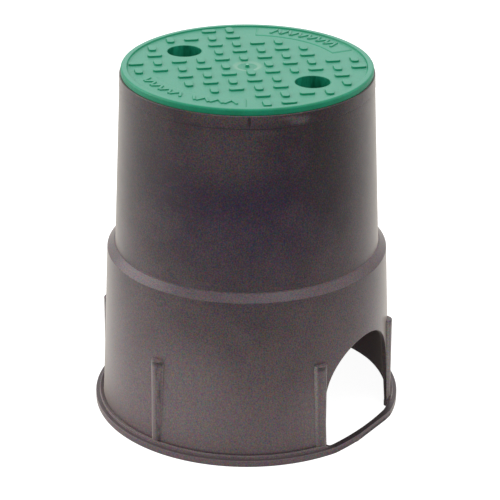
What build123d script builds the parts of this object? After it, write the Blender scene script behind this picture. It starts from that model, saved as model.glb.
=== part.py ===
"""Round irrigation valve box with a lift-out lid.

The box is a tapered round wall that stands on a flange, with an arched pipe slot at +X and
another at -X. The lid lies on the rim of its collar and is lifted straight up by two finger
holes. Sizes are millimetres, +Z is up, and the origin is the centre of the base.
"""

import os
from math import asin, atan2, cos, degrees, hypot, radians, sin, tan

from build123d import *

# Box wall
BODY_HEIGHT = 229.7
COLLAR_RADIUS = 80.7
WALL = 2.8
DRAFT_ANGLE = 2.64
COLLAR_BAND_HEIGHT = 8.0
COLLAR_BAND_PROUD = 0.2

# Shoulder, where the wall steps out
SHOULDER_TOP = 115.1
SHOULDER_HEIGHT = 4.6
SHOULDER_STEP = 5.4

# Base flange and the lower ring on it, each by how far it reaches out from the wall's foot
FLANGE_REACH = 5.42
FLANGE_THICKNESS = 4.4
FOOT_RING_REACH = 3.82
FOOT_RING_HEIGHT = 2.0
FOOT_CHAMFER = 2.6

# Ribs on the outside of the lower wall
RIB_RADIUS = 5.2
RIB_PROUD = 1.6
RIB_TOP = 63.0
RIB_DRAFT_ANGLE = 0.35
SLOT_RIB_ANGLE = 25.0
SIDE_RIB_ANGLE = 88.3

# Pipe slots
SLOT_WIDTH = 73.0
SLOT_TOP = 69.8
TIE_STRIP_WIDTH = 3.5
TIE_STRIP_BOW = 2.9

# Guides inside the collar that centre the lid
GUIDE_COUNT = 6
GUIDE_DEPTH = 3.0
GUIDE_THICKNESS = 2.4
GUIDE_FIRST_ANGLE = 6.0
GUIDE_TOP_GAP = 0.8

# Lid plate, whose edge lies this far inside the collar's outer face
LID_SETBACK = 0.7
LID_EDGE_HEIGHT = 4.3
LID_EDGE_FILLET = 1.5
LID_FOOT_CHAMFER = 0.5
RIM_WIDTH = 4.4
RIM_SLOPE = 0.5
PANEL_RECESS = 1.3

# Lid underside
LID_CLEARANCE = 0.5
SKIRT_DEPTH = 9.0
SKIRT_WALL = 2.2
WEB_COUNT = 8
WEB_THICKNESS = 2.0
WEB_DEPTH = 6.0
HUB_RADIUS = 11.0

# Finger holes, their centres set in from the edge of the panel
FINGER_HOLE_RADIUS = 11.0
FINGER_HOLE_INSET = 26.1
SLEEVE_WALL = 2.0

# Tread pads, their centres kept clear of the panel's edge, the finger holes and the plates
PAD_LENGTH = 9.4
PAD_WIDTH = 4.9
PAD_CORNER = 1.2
PAD_PITCH = 13.8
LATTICE_ANGLE = 45.0
PAD_EDGE_GAP = 4.6
PAD_HOLE_GAP = 4.0
PAD_PLATE_GAP = 5.8
PAD_PLATE_ANGLE = 36.0

# Raised plates at the lid's edge
PLATE_HEIGHT = 0.5
PLATE_CORNER = 3.0
NORTH_PLATE_MARGIN = 1.6
NORTH_PLATE_WIDTH = 14.0
SOUTH_PLATE_WIDTH = 17.8
PLATE_START = 58.8
PLATE_SWEEP = 61.0

# Moulding mark in the middle of the lid
DIMPLE_RADIUS = 9.0
DIMPLE_DEPTH = 0.6
PIP_BASE_RADIUS = 2.0
PIP_TIP_RADIUS = 0.6
PIP_HEIGHT = 1.6

# Worked out from the sizes above
DRAFT = tan(radians(DRAFT_ANGLE))
BAND_BOTTOM = BODY_HEIGHT - COLLAR_BAND_HEIGHT
SHOULDER_BOTTOM = SHOULDER_TOP - SHOULDER_HEIGHT
SHOULDER_DROP = WALL * tan(atan2(SHOULDER_STEP, SHOULDER_HEIGHT) / 2)
FOOT_TOP = FLANGE_THICKNESS + FOOT_RING_HEIGHT
SHOULDER_TOP_RADIUS = COLLAR_RADIUS + DRAFT * (BODY_HEIGHT - SHOULDER_TOP)
SHOULDER_BOTTOM_RADIUS = SHOULDER_TOP_RADIUS + SHOULDER_STEP
FOOT_RADIUS = SHOULDER_BOTTOM_RADIUS + DRAFT * (SHOULDER_BOTTOM - FOOT_TOP)
FLANGE_RADIUS = FOOT_RADIUS + FLANGE_REACH
FOOT_RING_RADIUS = FOOT_RADIUS + FOOT_RING_REACH
COLLAR_BORE = COLLAR_RADIUS - WALL
SLOT_SPRING = SLOT_TOP - SLOT_WIDTH / 2
SLOT_ANGLE = degrees(asin(SLOT_WIDTH / 2 / FOOT_RADIUS))
GUIDE_BORE = COLLAR_BORE - GUIDE_DEPTH
LID_RADIUS = COLLAR_RADIUS - LID_SETBACK
LID_TOP = BODY_HEIGHT + LID_EDGE_HEIGHT
PANEL_TOP = LID_TOP - PANEL_RECESS
PANEL_RADIUS = LID_RADIUS - RIM_WIDTH
FINGER_HOLE_OFFSET = PANEL_RADIUS - FINGER_HOLE_INSET
PAD_FIELD_RADIUS = PANEL_RADIUS - PAD_EDGE_GAP
NORTH_PLATE_OUTER = PANEL_RADIUS - NORTH_PLATE_MARGIN
NORTH_PLATE_INNER = NORTH_PLATE_OUTER - NORTH_PLATE_WIDTH
SOUTH_PLATE_INNER = PANEL_RADIUS - SOUTH_PLATE_WIDTH
DIMPLE_FLOOR = PANEL_TOP - DIMPLE_DEPTH
SKIRT_RADIUS = GUIDE_BORE - LID_CLEARANCE
SKIRT_BOTTOM = BODY_HEIGHT - SKIRT_DEPTH


def on_circle(radius: float, angle: float) -> tuple[float, float]:
    """Return the point at this radius and this angle in degrees, seen from above."""
    return (radius * cos(radians(angle)), radius * sin(radians(angle)))


def in_plate_zone(x: float, y: float) -> bool:
    """Tell whether a pad at this place would meet one of the two raised plates."""
    off_axis = degrees(atan2(abs(x), abs(y)))
    return hypot(x, y) > SOUTH_PLATE_INNER - PAD_PLATE_GAP and off_axis < PAD_PLATE_ANGLE


def tread_pads(odd: bool) -> list[tuple[float, float]]:
    """List the pad centres of one half of the basket weave, on the lid's own axes."""
    turn = radians(LATTICE_ANGLE)
    reach = int(PAD_FIELD_RADIUS // PAD_PITCH) + 1
    pads = []
    for i in range(-reach, reach + 1):
        for j in range(-reach, reach + 1):
            x = PAD_PITCH * (i * cos(turn) - j * sin(turn))
            y = PAD_PITCH * (i * sin(turn) + j * cos(turn))
            hole_distance = hypot(abs(x) - FINGER_HOLE_OFFSET, y)
            beside_hole = hole_distance < FINGER_HOLE_RADIUS + PAD_HOLE_GAP
            in_field = 0 < hypot(x, y) <= PAD_FIELD_RADIUS
            if (i + j) % 2 == odd and in_field and not beside_hole and not in_plate_zone(x, y):
                pads.append((x, y))
    return pads


# The box body: wall, flange, ribs, slots and collar in one moulding
rib_centre = FOOT_RADIUS + RIB_PROUD - RIB_RADIUS
rib_angles = [
    SLOT_RIB_ANGLE,
    SIDE_RIB_ANGLE,
    180 - SLOT_RIB_ANGLE,
    180 + SLOT_RIB_ANGLE,
    180 + SIDE_RIB_ANGLE,
    360 - SLOT_RIB_ANGLE,
]
foot_inner = FOOT_RADIUS - WALL
strip_inner = FLANGE_RADIUS - TIE_STRIP_WIDTH

with BuildPart() as box_body:
    # Outside of the wall, with the flange at its foot and the band round its collar
    with BuildSketch(Plane.XZ):
        with BuildLine():
            Polyline(
                (0, 0),
                (FLANGE_RADIUS, 0),
                (FLANGE_RADIUS, FLANGE_THICKNESS),
                (FOOT_RING_RADIUS, FLANGE_THICKNESS),
                (FOOT_RING_RADIUS, FOOT_TOP),
                (FOOT_RADIUS, FOOT_TOP),
                (SHOULDER_BOTTOM_RADIUS, SHOULDER_BOTTOM),
                (SHOULDER_TOP_RADIUS, SHOULDER_TOP),
                (COLLAR_RADIUS + DRAFT * COLLAR_BAND_HEIGHT, BAND_BOTTOM),
                (COLLAR_RADIUS + DRAFT * COLLAR_BAND_HEIGHT + COLLAR_BAND_PROUD, BAND_BOTTOM),
                (COLLAR_RADIUS + COLLAR_BAND_PROUD, BODY_HEIGHT),
                (0, BODY_HEIGHT),
                close=True,
            )
        make_face()
    revolve(axis=Axis.Z)

    # Upright ribs on the lower wall
    with BuildSketch(Plane.XY):
        with Locations(*[on_circle(rib_centre, angle) for angle in rib_angles]):
            Circle(RIB_RADIUS)
    extrude(amount=RIB_TOP, taper=RIB_DRAFT_ANGLE)

    # Hollow of the box, open at the bottom, which keeps the wall even over the shoulder
    with BuildSketch(Plane.XZ):
        with BuildLine():
            Polyline(
                (0, 0),
                (foot_inner + FOOT_CHAMFER, 0),
                (foot_inner, FOOT_CHAMFER),
                (SHOULDER_BOTTOM_RADIUS - WALL, SHOULDER_BOTTOM - SHOULDER_DROP),
                (SHOULDER_TOP_RADIUS - WALL, SHOULDER_TOP - SHOULDER_DROP),
                (COLLAR_BORE, BODY_HEIGHT),
                (0, BODY_HEIGHT),
                close=True,
            )
        make_face()
    revolve(axis=Axis.Z, mode=Mode.SUBTRACT)

    # Guides inside the collar, rooted in the wall
    with BuildSketch(Plane.XY.offset(BAND_BOTTOM)):
        with PolarLocations(GUIDE_BORE, GUIDE_COUNT, start_angle=GUIDE_FIRST_ANGLE):
            Rectangle(
                GUIDE_DEPTH + WALL / 2,
                GUIDE_THICKNESS,
                align=(Align.MIN, Align.CENTER),
            )
    extrude(amount=COLLAR_BAND_HEIGHT - GUIDE_TOP_GAP)

    # Arched pipe slots, cut straight through the wall from side to side
    with BuildSketch(Plane.YZ):
        with Locations((0, SLOT_SPRING)):
            Circle(SLOT_WIDTH / 2)
        Rectangle(SLOT_WIDTH, SLOT_SPRING, align=(Align.CENTER, Align.MIN))
    extrude(amount=FLANGE_RADIUS, both=True, mode=Mode.SUBTRACT)

    # Foot of each slot: the flange ends there on a radius, and a thin bowed strip ties its ends
    for middle in (0, 180):
        start = middle - SLOT_ANGLE
        end = middle + SLOT_ANGLE
        with BuildSketch(Plane.XY):
            with BuildLine():
                foot_cut = CenterArc((0, 0), FLANGE_RADIUS, start, 2 * SLOT_ANGLE)
                Line((0, 0), foot_cut @ 0)
                Line((0, 0), foot_cut @ 1)
            make_face()
        extrude(amount=FOOT_TOP, mode=Mode.SUBTRACT)
        with BuildSketch(Plane.XY):
            with BuildLine():
                outer = ThreePointArc(
                    on_circle(FLANGE_RADIUS, start),
                    on_circle(FLANGE_RADIUS - TIE_STRIP_BOW, middle),
                    on_circle(FLANGE_RADIUS, end),
                )
                inner = ThreePointArc(
                    on_circle(strip_inner, start),
                    on_circle(strip_inner - TIE_STRIP_BOW, middle),
                    on_circle(strip_inner, end),
                )
                Line(outer @ 0, inner @ 0)
                Line(outer @ 1, inner @ 1)
            make_face()
        extrude(amount=FLANGE_THICKNESS)

# The lid: tread plate, rim, skirt, stiffening webs and finger-hole sleeves in one moulding
web_start = HUB_RADIUS - WEB_THICKNESS / 2
web_end = SKIRT_RADIUS - SKIRT_WALL / 2

with BuildPart() as lid:
    # Plate with its raised rim, its rounded edge, and the dimple and pip in its middle
    with BuildSketch(Plane.XZ) as plate_section:
        with BuildLine():
            Polyline(
                (PIP_BASE_RADIUS, DIMPLE_FLOOR),
                (PIP_TIP_RADIUS, DIMPLE_FLOOR + PIP_HEIGHT),
                (0, DIMPLE_FLOOR + PIP_HEIGHT),
                (0, BODY_HEIGHT),
                (LID_RADIUS, BODY_HEIGHT),
                (LID_RADIUS, LID_TOP),
                (PANEL_RADIUS + RIM_SLOPE, LID_TOP),
                (PANEL_RADIUS, PANEL_TOP),
                (DIMPLE_RADIUS, PANEL_TOP),
            )
            TangentArc(
                (PIP_BASE_RADIUS, DIMPLE_FLOOR), (DIMPLE_RADIUS, PANEL_TOP), tangent=(1, 0)
            )
        make_face()
        fillet(plate_section.vertices().group_by(Axis.X)[-1].sort_by(Axis.Y)[-1], LID_EDGE_FILLET)
        chamfer(plate_section.vertices().group_by(Axis.X)[-1].sort_by(Axis.Y)[0], LID_FOOT_CHAMFER)
    revolve(axis=Axis.Z)

    # Skirt that drops inside the collar guides
    with BuildSketch(Plane.XY.offset(SKIRT_BOTTOM)):
        Circle(SKIRT_RADIUS)
        Circle(SKIRT_RADIUS - SKIRT_WALL, mode=Mode.SUBTRACT)
    extrude(amount=SKIRT_DEPTH)

    # Stiffening webs from the hub to the skirt
    with BuildSketch(Plane.XY.offset(BODY_HEIGHT - WEB_DEPTH)):
        with PolarLocations(web_start, WEB_COUNT):
            Rectangle(web_end - web_start, WEB_THICKNESS, align=(Align.MIN, Align.CENTER))
        Circle(HUB_RADIUS)
        Circle(HUB_RADIUS - WEB_THICKNESS, mode=Mode.SUBTRACT)
    extrude(amount=WEB_DEPTH)

    # Sleeves round the finger holes, and the holes themselves
    with BuildSketch(Plane.XY.offset(SKIRT_BOTTOM)):
        with Locations((FINGER_HOLE_OFFSET, 0), (-FINGER_HOLE_OFFSET, 0)):
            Circle(FINGER_HOLE_RADIUS + SLEEVE_WALL)
    extrude(amount=SKIRT_DEPTH)
    with BuildSketch(Plane.XY.offset(SKIRT_BOTTOM)):
        with Locations((FINGER_HOLE_OFFSET, 0), (-FINGER_HOLE_OFFSET, 0)):
            Circle(FINGER_HOLE_RADIUS)
    extrude(amount=SKIRT_DEPTH + LID_EDGE_HEIGHT, mode=Mode.SUBTRACT)

    # Raised plates inside the rim, at +Y and at -Y
    plates = [
        (PLATE_START, NORTH_PLATE_INNER, NORTH_PLATE_OUTER),
        (PLATE_START + 180, SOUTH_PLATE_INNER, PANEL_RADIUS + RIM_SLOPE),
    ]
    for start, plate_inner, plate_outer in plates:
        with BuildSketch(Plane.XY.offset(PANEL_TOP)) as plate:
            with BuildLine():
                far_arc = CenterArc((0, 0), plate_outer, start, PLATE_SWEEP)
                near_arc = CenterArc((0, 0), plate_inner, start, PLATE_SWEEP)
                Line(far_arc @ 0, near_arc @ 0)
                Line(far_arc @ 1, near_arc @ 1)
            make_face()
            fillet(plate.vertices().sort_by(SortBy.DISTANCE)[:2], radius=PLATE_CORNER)
        extrude(amount=PLATE_HEIGHT)

    # Tread pads in a basket weave, flush with the rim
    for odd, pad_turn in ((False, LATTICE_ANGLE), (True, LATTICE_ANGLE + 90)):
        with BuildSketch(Plane.XY, mode=Mode.PRIVATE) as pad:
            Rectangle(PAD_LENGTH, PAD_WIDTH, rotation=pad_turn)
            chamfer(pad.vertices(), length=PAD_CORNER)
        with BuildSketch(Plane.XY.offset(PANEL_TOP)):
            with Locations(*tread_pads(odd)):
                add(pad.sketch)
        extrude(amount=PANEL_RECESS)

box_body.part.label = "box_body"
lid.part.label = "lid"

os.makedirs("parts", exist_ok=True)
export_step(box_body.part, "parts/box_body.step")
export_step(lid.part, "parts/lid.step")
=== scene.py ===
"""Looks of the round irrigation valve box.

The moulded box and its lid are meshed again with rounded edges, dressed in black and green
plastic, and set on a pale floor under soft light. Sizes are metres, +Z is up, and the two pipe
slots face +X and -X.
"""

import logging
from collections.abc import Callable, Sequence
from dataclasses import astuple, dataclass, field
from enum import Enum
from math import asin, atan2, cos, exp, pi, radians, sin, sqrt, tan

import bmesh
import bpy
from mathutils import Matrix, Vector
from mathutils.geometry import tessellate_polygon


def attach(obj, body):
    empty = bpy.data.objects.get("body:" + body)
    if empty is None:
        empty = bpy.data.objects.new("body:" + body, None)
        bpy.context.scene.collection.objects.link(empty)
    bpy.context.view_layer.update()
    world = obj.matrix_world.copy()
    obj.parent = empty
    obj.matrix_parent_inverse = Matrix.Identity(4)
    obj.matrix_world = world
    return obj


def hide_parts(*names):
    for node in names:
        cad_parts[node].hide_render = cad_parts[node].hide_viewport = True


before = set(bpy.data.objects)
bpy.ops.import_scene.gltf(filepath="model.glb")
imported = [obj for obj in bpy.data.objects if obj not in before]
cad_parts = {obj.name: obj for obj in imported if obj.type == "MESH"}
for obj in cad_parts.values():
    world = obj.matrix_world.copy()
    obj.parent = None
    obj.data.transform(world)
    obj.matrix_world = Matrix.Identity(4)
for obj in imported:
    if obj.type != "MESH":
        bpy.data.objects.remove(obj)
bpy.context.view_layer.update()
log = logging.getLogger("valve_box")

MM = 0.001
FULL_TURN = 2 * pi
MERGE_DISTANCE = 0.004 * MM
SHARP_ANGLE = radians(48)
LEAST_MITRE = 0.5

Point2 = tuple[float, float]
Point3 = tuple[float, float, float]
Corner = tuple[float, float, float]
Colour = tuple[float, float, float, float]
Piece = bpy.types.Object
Finish = bpy.types.Material
Socket = bpy.types.NodeSocket
Sockets = bpy.types.NodeOutputs
Value = Socket | float | Sequence[float]


class Body(Enum):
    """The two moving groups of the box."""

    BOX = "ground_box"
    LID = "lift_lid"


class Slot(Enum):
    """The material slots of the record."""

    BLACK = "black_plastic"
    GREEN = "green_plastic"


class Shell:
    """A mesh while it is made: points, and the faces between them."""

    def __init__(self) -> None:
        """Start with no points and no faces."""
        self.points: list[Point3] = []
        self.faces: list[tuple[int, ...]] = []

    def ring(self, points: Sequence[Point3]) -> list[int]:
        """Add points in order.

        Args:
            points: places in metres.

        Returns:
            The numbers of the new points.
        """
        start = len(self.points)
        self.points.extend(tuple(point) for point in points)
        return list(range(start, len(self.points)))

    def bridge(self, first: Sequence[int], second: Sequence[int], closed: bool = True) -> None:
        """Join two rings of the same length with quads.

        Args:
            first: point numbers of one ring.
            second: point numbers of the other.
            closed: whether the last point joins the first again.
        """
        count = len(first)
        for k in range(count if closed else count - 1):
            after = (k + 1) % count
            self.faces.append((first[k], first[after], second[after], second[k]))

    def bridge_all(self, rings: Sequence[Sequence[int]], closed: bool = True) -> None:
        """Join each ring to the next one.

        Args:
            rings: rings of point numbers, all of one length.
            closed: whether each ring is a closed loop.
        """
        for first, second in zip(rings, rings[1:]):
            self.bridge(first, second, closed)

    def fill(self, outer: Sequence[int], *holes: Sequence[int]) -> None:
        """Close a flat area.

        Args:
            outer: point numbers of its edge.
            holes: point numbers of each hole left in it.
        """
        loops = [outer, *holes]
        numbers = [number for loop in loops for number in loop]
        flat = [[Vector(self.points[number]) for number in loop] for loop in loops]
        for triangle in tessellate_polygon(flat):
            self.faces.append(tuple(numbers[corner] for corner in triangle))

    def piece(self, name: str, finish: Finish | None = None) -> Piece:
        """Turn the shell into a smooth, closed object.

        Args:
            name: the object's name.
            finish: the material to dress it in.

        Returns:
            The new object, linked to the scene.
        """
        mesh = bpy.data.meshes.new(name)
        mesh.from_pydata(self.points, [], self.faces)
        work = bmesh.new()
        work.from_mesh(mesh)
        bmesh.ops.remove_doubles(work, verts=work.verts, dist=MERGE_DISTANCE)
        bmesh.ops.dissolve_degenerate(work, edges=work.edges, dist=MERGE_DISTANCE / 10)
        bmesh.ops.recalc_face_normals(work, faces=work.faces)
        work.to_mesh(mesh)
        work.free()
        if finish is not None:
            mesh.materials.append(finish)
        piece = bpy.data.objects.new(name, mesh)
        bpy.context.scene.collection.objects.link(piece)
        return piece


def settle(piece: Piece) -> Piece:
    """Apply a piece's modifiers and give it smooth shading that keeps its flats flat.

    Args:
        piece: the object to finish.

    Returns:
        The same object, with a plain mesh and no modifiers.
    """
    piece.data.shade_smooth()
    piece.data.set_sharp_from_angle(angle=SHARP_ANGLE)
    weighted = piece.modifiers.new("flat_faces_lead", "WEIGHTED_NORMAL")
    weighted.keep_sharp = True
    weighted.mode = "FACE_AREA"
    return bake(piece)


def bake(piece: Piece) -> Piece:
    """Replace a piece's mesh by its evaluated one and drop its modifiers.

    Args:
        piece: the object with live modifiers.

    Returns:
        The same object.
    """
    graph = bpy.context.evaluated_depsgraph_get()
    mesh = bpy.data.meshes.new_from_object(piece.evaluated_get(graph), depsgraph=graph)
    mesh.name = piece.name
    piece.modifiers.clear()
    piece.data = mesh
    return piece


def rounded(corners: Sequence[Corner], steps: int = 4, closed: bool = True) -> list[Point2]:
    """Round the corners of an outline.

    Args:
        corners: each corner as x, y and its rounding radius.
        steps: pieces in each rounding.
        closed: whether the outline is a loop; the ends of an open one stay as they are.

    Returns:
        The points of the rounded outline.
    """
    outline: list[Point2] = []
    count = len(corners)
    for k, (x, y, radius) in enumerate(corners):
        at_end = not closed and k in (0, count - 1)
        if radius <= 0 or at_end:
            outline.append((x, y))
            continue
        here = Vector((x, y))
        before = Vector(corners[k - 1][:2]) - here
        after = Vector(corners[(k + 1) % count][:2]) - here
        half = before.angle(after) / 2
        reach = min(radius / tan(half), before.length / 2, after.length / 2)
        start = before.normalized() * reach
        end = after.normalized() * reach
        centre = (start + end).normalized() * (reach / cos(half))
        for step in range(steps + 1):
            share = step / steps
            spoke = (start - centre).lerp(end - centre, share).normalized() * reach * tan(half)
            outline.append(tuple(here + centre + spoke))
    return outline


def inset(outline: Sequence[Point2], depth: float) -> list[Point2]:
    """Move a closed outline, drawn anticlockwise, inward.

    Args:
        outline: its points.
        depth: how far in; a negative depth moves it out.

    Returns:
        As many points as before.
    """
    moved: list[Point2] = []
    count = len(outline)
    for k, point in enumerate(outline):
        here = Vector(point)
        along_in = (here - Vector(outline[k - 1])).normalized()
        along_out = (Vector(outline[(k + 1) % count]) - here).normalized()
        normal_in = Vector((-along_in.y, along_in.x))
        normal_out = Vector((-along_out.y, along_out.x))
        middle = (normal_in + normal_out).normalized()
        moved.append(tuple(here + middle * depth / max(middle.dot(normal_in), LEAST_MITRE)))
    return moved


def circle(radius: float, level: float, count: int, centre: Point2 = (0.0, 0.0)) -> list[Point3]:
    """List the points of a level circle.

    Args:
        radius: its radius.
        level: its height.
        count: its number of points.
        centre: its centre, seen from above.

    Returns:
        The points, anticlockwise from +X.
    """
    spokes = [FULL_TURN * k / count for k in range(count)]
    return [(centre[0] + radius * cos(a), centre[1] + radius * sin(a), level) for a in spokes]


def lathe(
    shell: Shell,
    outline: Sequence[Point2],
    count: int,
    centre: Point2 = (0.0, 0.0),
    loop: bool = True,
) -> list[list[int]]:
    """Turn an outline of radii and heights round a vertical axis.

    Args:
        shell: the mesh it goes into.
        outline: pairs of radius and height.
        count: points round the axis.
        centre: where the axis stands.
        loop: whether the outline's last point joins its first.

    Returns:
        The point numbers of each turned ring, in the outline's order.
    """
    rings = [shell.ring(circle(radius, level, count, centre)) for radius, level in outline]
    shell.bridge_all(rings)
    if loop:
        shell.bridge(rings[-1], rings[0])
    return rings


def prism(shell: Shell, outline: Sequence[Point2], steps: Sequence[Point2]) -> None:
    """Raise a closed outline through a list of insets and heights, and close both ends.

    Args:
        shell: the mesh it goes into.
        outline: the outline, anticlockwise, seen from above.
        steps: pairs of inset and height, from the bottom up.
    """
    rings = []
    for depth, level in steps:
        rings.append(shell.ring([(x, y, level) for x, y in inset(outline, depth)]))
    shell.bridge_all(rings)
    shell.fill(rings[0])
    shell.fill(rings[-1])


def rounded_rectangle(length: float, width: float, radius: float, steps: int = 4) -> list[Point2]:
    """Outline a rectangle with round corners about the origin, anticlockwise.

    Args:
        length: its size along x.
        width: its size along y.
        radius: the rounding of its corners.
        steps: pieces in each corner.

    Returns:
        Its points.
    """
    x, y = length / 2, width / 2
    corners = [(-x, -y, radius), (x, -y, radius), (x, y, radius), (-x, y, radius)]
    return rounded(corners, steps)


class Board:
    """Places nodes in a tree and joins them."""

    def __init__(self, tree: bpy.types.NodeTree) -> None:
        """Work on one tree.

        Args:
            tree: a shader or geometry node tree.
        """
        self.tree = tree

    def add(self, kind: str, values: dict | None = None, **settings: object) -> bpy.types.Node:
        """Add a node.

        Args:
            kind: its type.
            values: what goes into its inputs, by name or number: a value, or an output to link.
            settings: its other properties.

        Returns:
            The new node.
        """
        node = self.tree.nodes.new(kind)
        for name, setting in settings.items():
            setattr(node, name, setting)
        for key, value in (values or {}).items():
            if isinstance(value, Socket):
                self.tree.links.new(value, node.inputs[key])
            else:
                node.inputs[key].default_value = value
        return node

    def math(self, operation: str, *operands: Value) -> Socket:
        """Add a math node.

        Args:
            operation: what it does, such as ADD.
            operands: its one to three inputs.

        Returns:
            Its output.
        """
        values = dict(enumerate(operands))
        return self.add("ShaderNodeMath", values, operation=operation).outputs[0]

    def vector(self, operation: str, *operands: Value) -> Socket:
        """Add a vector math node.

        Args:
            operation: what it does, such as ADD.
            operands: its one to three inputs.

        Returns:
            Its vector output.
        """
        values = dict(enumerate(operands))
        return self.add("ShaderNodeVectorMath", values, operation=operation).outputs[0]

    def split(self, vector: Value) -> Sockets:
        """Split a vector into its three parts."""
        return self.add("ShaderNodeSeparateXYZ", {0: vector}).outputs

    def join(self, x: Value = 0.0, y: Value = 0.0, z: Value = 0.0) -> Socket:
        """Join three parts into a vector."""
        return self.add("ShaderNodeCombineXYZ", {0: x, 1: y, 2: z}).outputs[0]

    def length(self, vector: Value) -> Socket:
        """Measure a vector."""
        node = self.add("ShaderNodeVectorMath", {0: vector}, operation="LENGTH")
        return node.outputs["Value"]

    def mix(self, factor: Value, first: Value, second: Value) -> Socket:
        """Mix two colours.

        Args:
            factor: the share of the second.
            first: a colour or an output.
            second: a colour or an output.

        Returns:
            The mixed colour.
        """
        values = {0: factor, 6: first, 7: second}
        return self.add("ShaderNodeMix", values, data_type="RGBA").outputs[2]

    def noise(self, place: Socket, scale: float, detail: float, roughness: float) -> Socket:
        """Add a noise texture.

        Args:
            place: where the surface point is.
            scale: repeats for each unit.
            detail: layers of finer noise.
            roughness: how strong the finer layers are.

        Returns:
            Its value, about 0.5.
        """
        values = {"Vector": place, "Scale": scale, "Detail": detail, "Roughness": roughness}
        return self.add("ShaderNodeTexNoise", values).outputs[0]

    def ramp(self, value: Value, low: float, high: float) -> Socket:
        """Stretch part of a value's range to 0 to 1, with a soft start and end.

        Args:
            value: the output to stretch.
            low: what becomes 0.
            high: what becomes 1.

        Returns:
            The stretched value.
        """
        values = {0: value, 1: low, 2: high}
        node = self.add("ShaderNodeMapRange", values, interpolation_type="SMOOTHSTEP")
        return node.outputs[0]


@dataclass(frozen=True)
class Mark:
    """A soft patch of another colour on a surface, as an egg shape in the object's frame."""

    centre: Point3
    reach: Point3
    colour: Colour
    share: float = 0.5
    sharp: float = 0.2

    def lay(self, board: Board, place: Socket, colour: Value) -> Socket:
        """Lay the patch over a colour.

        Args:
            board: the material's nodes.
            place: where the surface point is.
            colour: the colour below.

        Returns:
            The colour with the patch.
        """
        away = board.vector("DIVIDE", board.vector("SUBTRACT", place, self.centre), self.reach)
        near = board.ramp(board.length(away), 1.0, self.sharp)
        return board.mix(board.math("MULTIPLY", near, self.share), colour, self.colour)


@dataclass(frozen=True)
class CreaseShade:
    """Painted shade along a line round the box's axis, where two mouldings meet."""

    radius: float
    level: float
    reach: float
    share: float = 0.5

    def depth(self, board: Board, section: Socket) -> Socket:
        """Tell how much painted shade a point gets from the crease.

        Args:
            board: the material's nodes.
            section: the point's radius and height, as a vector.

        Returns:
            Its share at its middle, 0 beyond its reach.
        """
        away = board.length(board.vector("SUBTRACT", section, (self.radius, self.level, 0.0)))
        return board.math("MULTIPLY", board.ramp(away, self.reach, self.reach / 2), self.share)


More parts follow.
